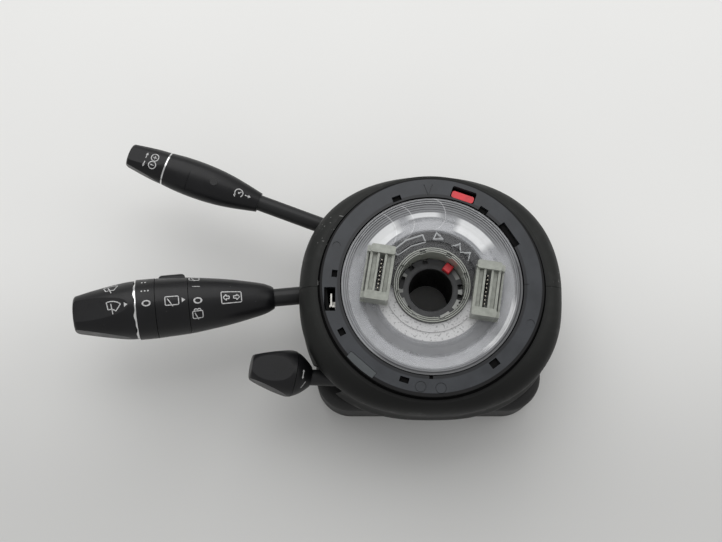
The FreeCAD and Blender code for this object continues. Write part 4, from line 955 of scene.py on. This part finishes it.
def windscreen(draw):
    """A windscreen with its wiper."""
    draw.arc(0, -6.4, 9.0, 64, 116)
    draw.arc(0, -6.4, 4.6, 62, 118)
    draw.path((-3.95, 1.69), (-2.16, -2.34))
    draw.path((3.95, 1.69), (2.16, -2.34))
    draw.path((0.9, -4.2), (-1.4, 1.2))


def washer(draw):
    """A windscreen with drops."""
    windscreen(draw)
    for x in (-2.2, 0.0, 2.2):
        draw.bar(x, 3.4, x * 1.15, 4.6, 0.35)


def pointer(draw):
    """A filled triangle that points to the marks beside it."""
    draw.patch(0, 0, 1.5, 3, -90, 0.85)


def zero(draw):
    """The figure 0, drawn with a bolder line."""
    draw.arc(0, 0, 1.4, squeeze=1.4, stroke=draw.stroke * 1.25)


def one(draw):
    """The stroke for one step."""
    draw.bar(-2.1, 0, 2.1, 0, 0.4)


def three_dots(draw):
    """Three dots for the slower interval."""
    for x in (-1.7, 0.0, 1.7):
        draw.patch(x, 0, 0.5, 10)


def two_dots(draw):
    """Two dots."""
    for x in (-0.9, 0.9):
        draw.patch(x, 0, 0.5, 10)


def frame_outline(draw, half_x, half_y, corner):
    """An outline with round corners."""
    x = half_x - corner
    y = half_y - corner
    for i, j, start in ((1, 1, 0), (-1, 1, 90), (-1, -1, 180), (1, -1, 270)):
        draw.arc(i * x, j * y, corner, start, start + 90)
    for side in (1, -1):
        draw.bar(-x, side * half_y, x, side * half_y)
        draw.bar(side * half_x, -y, side * half_x, y)


def rear_window(draw):
    """A rear window with its wiper."""
    frame_outline(draw, 3.6, 2.35, 0.6)
    draw.path((-2.4, 1.3), (0.4, -3.1))


def rear_washer(draw):
    """A rear window with its wiper and a spray."""
    frame_outline(draw, 2.7, 2.1, 0.8)
    draw.path((-1.5, 1.2), (0.2, -2.9))
    draw.arc(-0.9, 2.4, 0.9, 20, 200)
    draw.arc(0.9, 2.4, 0.9, -20, 160)


def hollow_arrow(draw, x, way):
    """An outlined arrow that points to the left or to the right."""
    draw.path((x + way * 2.2, 0), (x + way * 0.5, 1.6), (x + way * 0.5, 0.7), (x - way * 1.1, 0.7),
              (x - way * 1.1, -0.7), (x + way * 0.5, -0.7), (x + way * 0.5, -1.6), (x + way * 2.2, 0))


def turn_arrows(draw):
    """Two arrows in a box."""
    frame_outline(draw, 5.4, 3.1, 0.7)
    hollow_arrow(draw, -2.3, -1)
    hollow_arrow(draw, 2.3, 1)


def tilt_mark(draw):
    """A double arrow for the column."""
    draw.bar(0, -1.6, 0, 1.6, 0.45)
    draw.patch(0, 1.8, 0.8, 3, 0)
    draw.patch(0, -1.8, 0.8, 3, 180)


class CLOCKSPRING_OT_marks(bpy.types.Operator):
    """Printed marks on the grips, the turning ring, the mark ring, the knob and the adjuster's base"""

    bl_idname = "clockspring.marks"
    bl_label = "Printed marks"

    # Each print: its name, its body, its grip (joint of the axis, joint of the centre, sense, pieces) and its
    # marks, each with its distance out in millimetres and its turn and tilt in degrees
    prints = (
        ("cruise_marks", "cruise_grip",
         ("cruise_press", "cruise_pull", -1, "cruise_handle", "cruise_end_cap"),
         ((plus, 125.2, -13, -4), (minus, 125.2, 21, -4), (small_arrow, 130.1, -12, -4),
          (small_arrow, 130.0, 27, 176), (gauge, 73.9, 5.5, 0), (side_arrow, 68.5, 4, 0))),
        ("handle_marks", "combi_arm", ("rear_ring_turn", "rear_ring_turn", 1, "combi_handle", "mark_ring"),
         ((turn_arrows, 72.5, 2, 0), (rear_washer, 91.2, 34, 0), (zero, 90.6, 4.5, 0), (one, 91.1, -28, 0),
          (rear_washer, 92.0, -57, 0), (zero, 118.0, 2, 0), (three_dots, 118.5, -23.5, 0),
          (two_dots, 119.2, -48, 0))),
        ("ring_marks", "rear_ring", ("rear_ring_turn", "rear_ring_turn", 1, "rear_wiper_ring"),
         ((rear_window, 104.4, 1, 0), (pointer, 98.5, 1, 0))),
        ("knob_marks", "wiper_press", ("rear_ring_turn", "rear_ring_turn", 1, "wiper_knob"),
         ((windscreen, 135.9, 0, -14), (washer, 137.2, -48, -4), (pointer, 129.2, 0, 0))),
        ("adjuster_marks", "adjuster_arm", ("adjuster_knob_turn", "adjuster_knob_turn", 1, "adjuster_base"),
         ((tilt_mark, 7.6, 4, 0), (one, 6.4, 38, 60))),
    )

    def execute(self, context):
        paint = ink()
        for name, body, grip, marks in self.prints:
            sheet = Print(Grip(*grip), name)
            for mark in marks:
                sheet.place(*mark)
            sheet.finish(body, paint)
        return {"FINISHED"}


class CLOCKSPRING_OT_stage(bpy.types.Operator):
    """Pale floor, soft light and the camera at the angle of the photograph"""

    bl_idname = "clockspring.stage"
    bl_label = "Stage"

    # Point that the camera and the lamps aim at, in metres
    aim = (-0.038, 0.0074, 0.072)
    # The floor grows paler between these two Y in millimetres: painted light that falls off towards the
    # camera.
    # Its half width in metres, and the size in millimetres and colour of its faint clouds
    floor_light_span = (-115.0, 55.0)
    floor_half = 3.0
    cloud_size = 160.0
    cloud_colour = (0.5, 0.5, 0.5)
    # Width of the camera's sensor in millimetres
    sensor_width = 36.0
    # Lamps: name, place and edge of the square in metres, and share of the key power
    lamps = (("key_lamp", (-0.22, 0.80, 1.0), 1.3, 1.0), ("side_lamp", (1.1, 0.35, 1.1), 1.1, 0.4))

    def execute(self, context):
        stage = context.scene.clock_spring_stage
        self.floor(tuple(stage.floor))
        world = bpy.data.worlds.new("studio")
        world.use_nodes = True
        background = world.node_tree.nodes["Background"]
        background.inputs["Color"].default_value = (1.0, 1.0, 1.0, 1.0)
        background.inputs["Strength"].default_value = stage.world
        context.scene.world = world
        for name, place, size, share in self.lamps:
            lamp = bpy.data.lights.new(name, "AREA")
            lamp.size = size
            lamp.energy = stage.key * share
            holder = bpy.data.objects.new(name, lamp)
            holder.location = place
            holder.rotation_euler = (Vector(self.aim) - Vector(place)).to_track_quat("-Z", "Y").to_euler()
            context.scene.collection.objects.link(holder)
        self.camera(context, stage)
        context.scene.view_settings.view_transform = "Standard"
        return {"FINISHED"}

    def floor(self, base):
        """A wide sheet under the part."""
        mesh = bmesh.new()
        bmesh.ops.create_grid(mesh, x_segments=1, y_segments=1, size=self.floor_half,
                              matrix=Matrix.Translation((0, 0, CAD_BOX[0].z)))
        finish = Finish("pale_floor")
        cloud = finish.noise(self.cloud_size, 2.0)
        # Painted light: the floor darkens towards the camera and pales beyond the part
        rise = finish.y.ramp(*self.floor_light_span)
        tint = finish.mix(rise, shade(base, 0.90), shade(base, 1.18))
        tint = finish.mix(cloud.ramp(0.3, 0.7) * 0.03, tint, self.cloud_colour)
        finish.put(base_color=tint, roughness=0.7)
        piece = new_object("floor", mesh, finish)

    def camera(self, context, stage):
        """The camera leans back from straight down, towards the lower edge of the picture."""
        data = bpy.data.cameras.new("photo_camera")
        data.sensor_width = self.sensor_width
        data.lens = stage.lens
        holder = bpy.data.objects.new("photo_camera", data)
        back = Vector((0, -math.sin(stage.tilt), math.cos(stage.tilt)))
        holder.location = Vector(self.aim) + back * stage.distance
        holder.rotation_euler = (stage.tilt, 0, 0)
        context.scene.collection.objects.link(holder)
        context.scene.camera = holder


class CLOCKSPRING_PT_panel(bpy.types.Panel):
    """Lists the finishes, the marks and the stage"""

    bl_idname = "CLOCKSPRING_PT_panel"
    bl_label = "Clock spring"
    bl_space_type = "VIEW_3D"
    bl_region_type = "UI"
    bl_category = "Clock spring"

    def draw(self, context):
        scene = context.scene
        for group in (scene.clock_spring_finishes, scene.clock_spring_marks, scene.clock_spring_stage):
            box = self.layout.box()
            for name in group.__annotations__:
                box.prop(group, name)
        for operator in OPERATORS:
            self.layout.operator(operator.bl_idname)


GROUPS = {"clock_spring_finishes": ClockSpringFinishes, "clock_spring_marks": ClockSpringMarks,
          "clock_spring_stage": ClockSpringStage}
OPERATORS = (CLOCKSPRING_OT_collar, CLOCKSPRING_OT_ring, CLOCKSPRING_OT_rotor, CLOCKSPRING_OT_towers,
             CLOCKSPRING_OT_hub, CLOCKSPRING_OT_housing, CLOCKSPRING_OT_works, CLOCKSPRING_OT_grips,
             CLOCKSPRING_OT_marks, CLOCKSPRING_OT_stage)
CLASSES = (*GROUPS.values(), *OPERATORS, CLOCKSPRING_PT_panel)


def register():
    for cls in CLASSES:
        bpy.utils.register_class(cls)
    for name, group in GROUPS.items():
        setattr(bpy.types.Scene, name, PointerProperty(type=group))


def unregister():
    for name in GROUPS:
        delattr(bpy.types.Scene, name)
    for cls in reversed(CLASSES):
        bpy.utils.unregister_class(cls)


def main():
    """Dresses the frame piece by piece."""
    register()
    bpy.ops.clockspring.collar()
    bpy.ops.clockspring.ring()
    bpy.ops.clockspring.rotor()
    bpy.ops.clockspring.towers()
    bpy.ops.clockspring.hub()
    bpy.ops.clockspring.housing()
    bpy.ops.clockspring.works()
    bpy.ops.clockspring.grips()
    bpy.ops.clockspring.marks()
    bpy.ops.clockspring.stage()


if __name__ == "__main__":
    main()
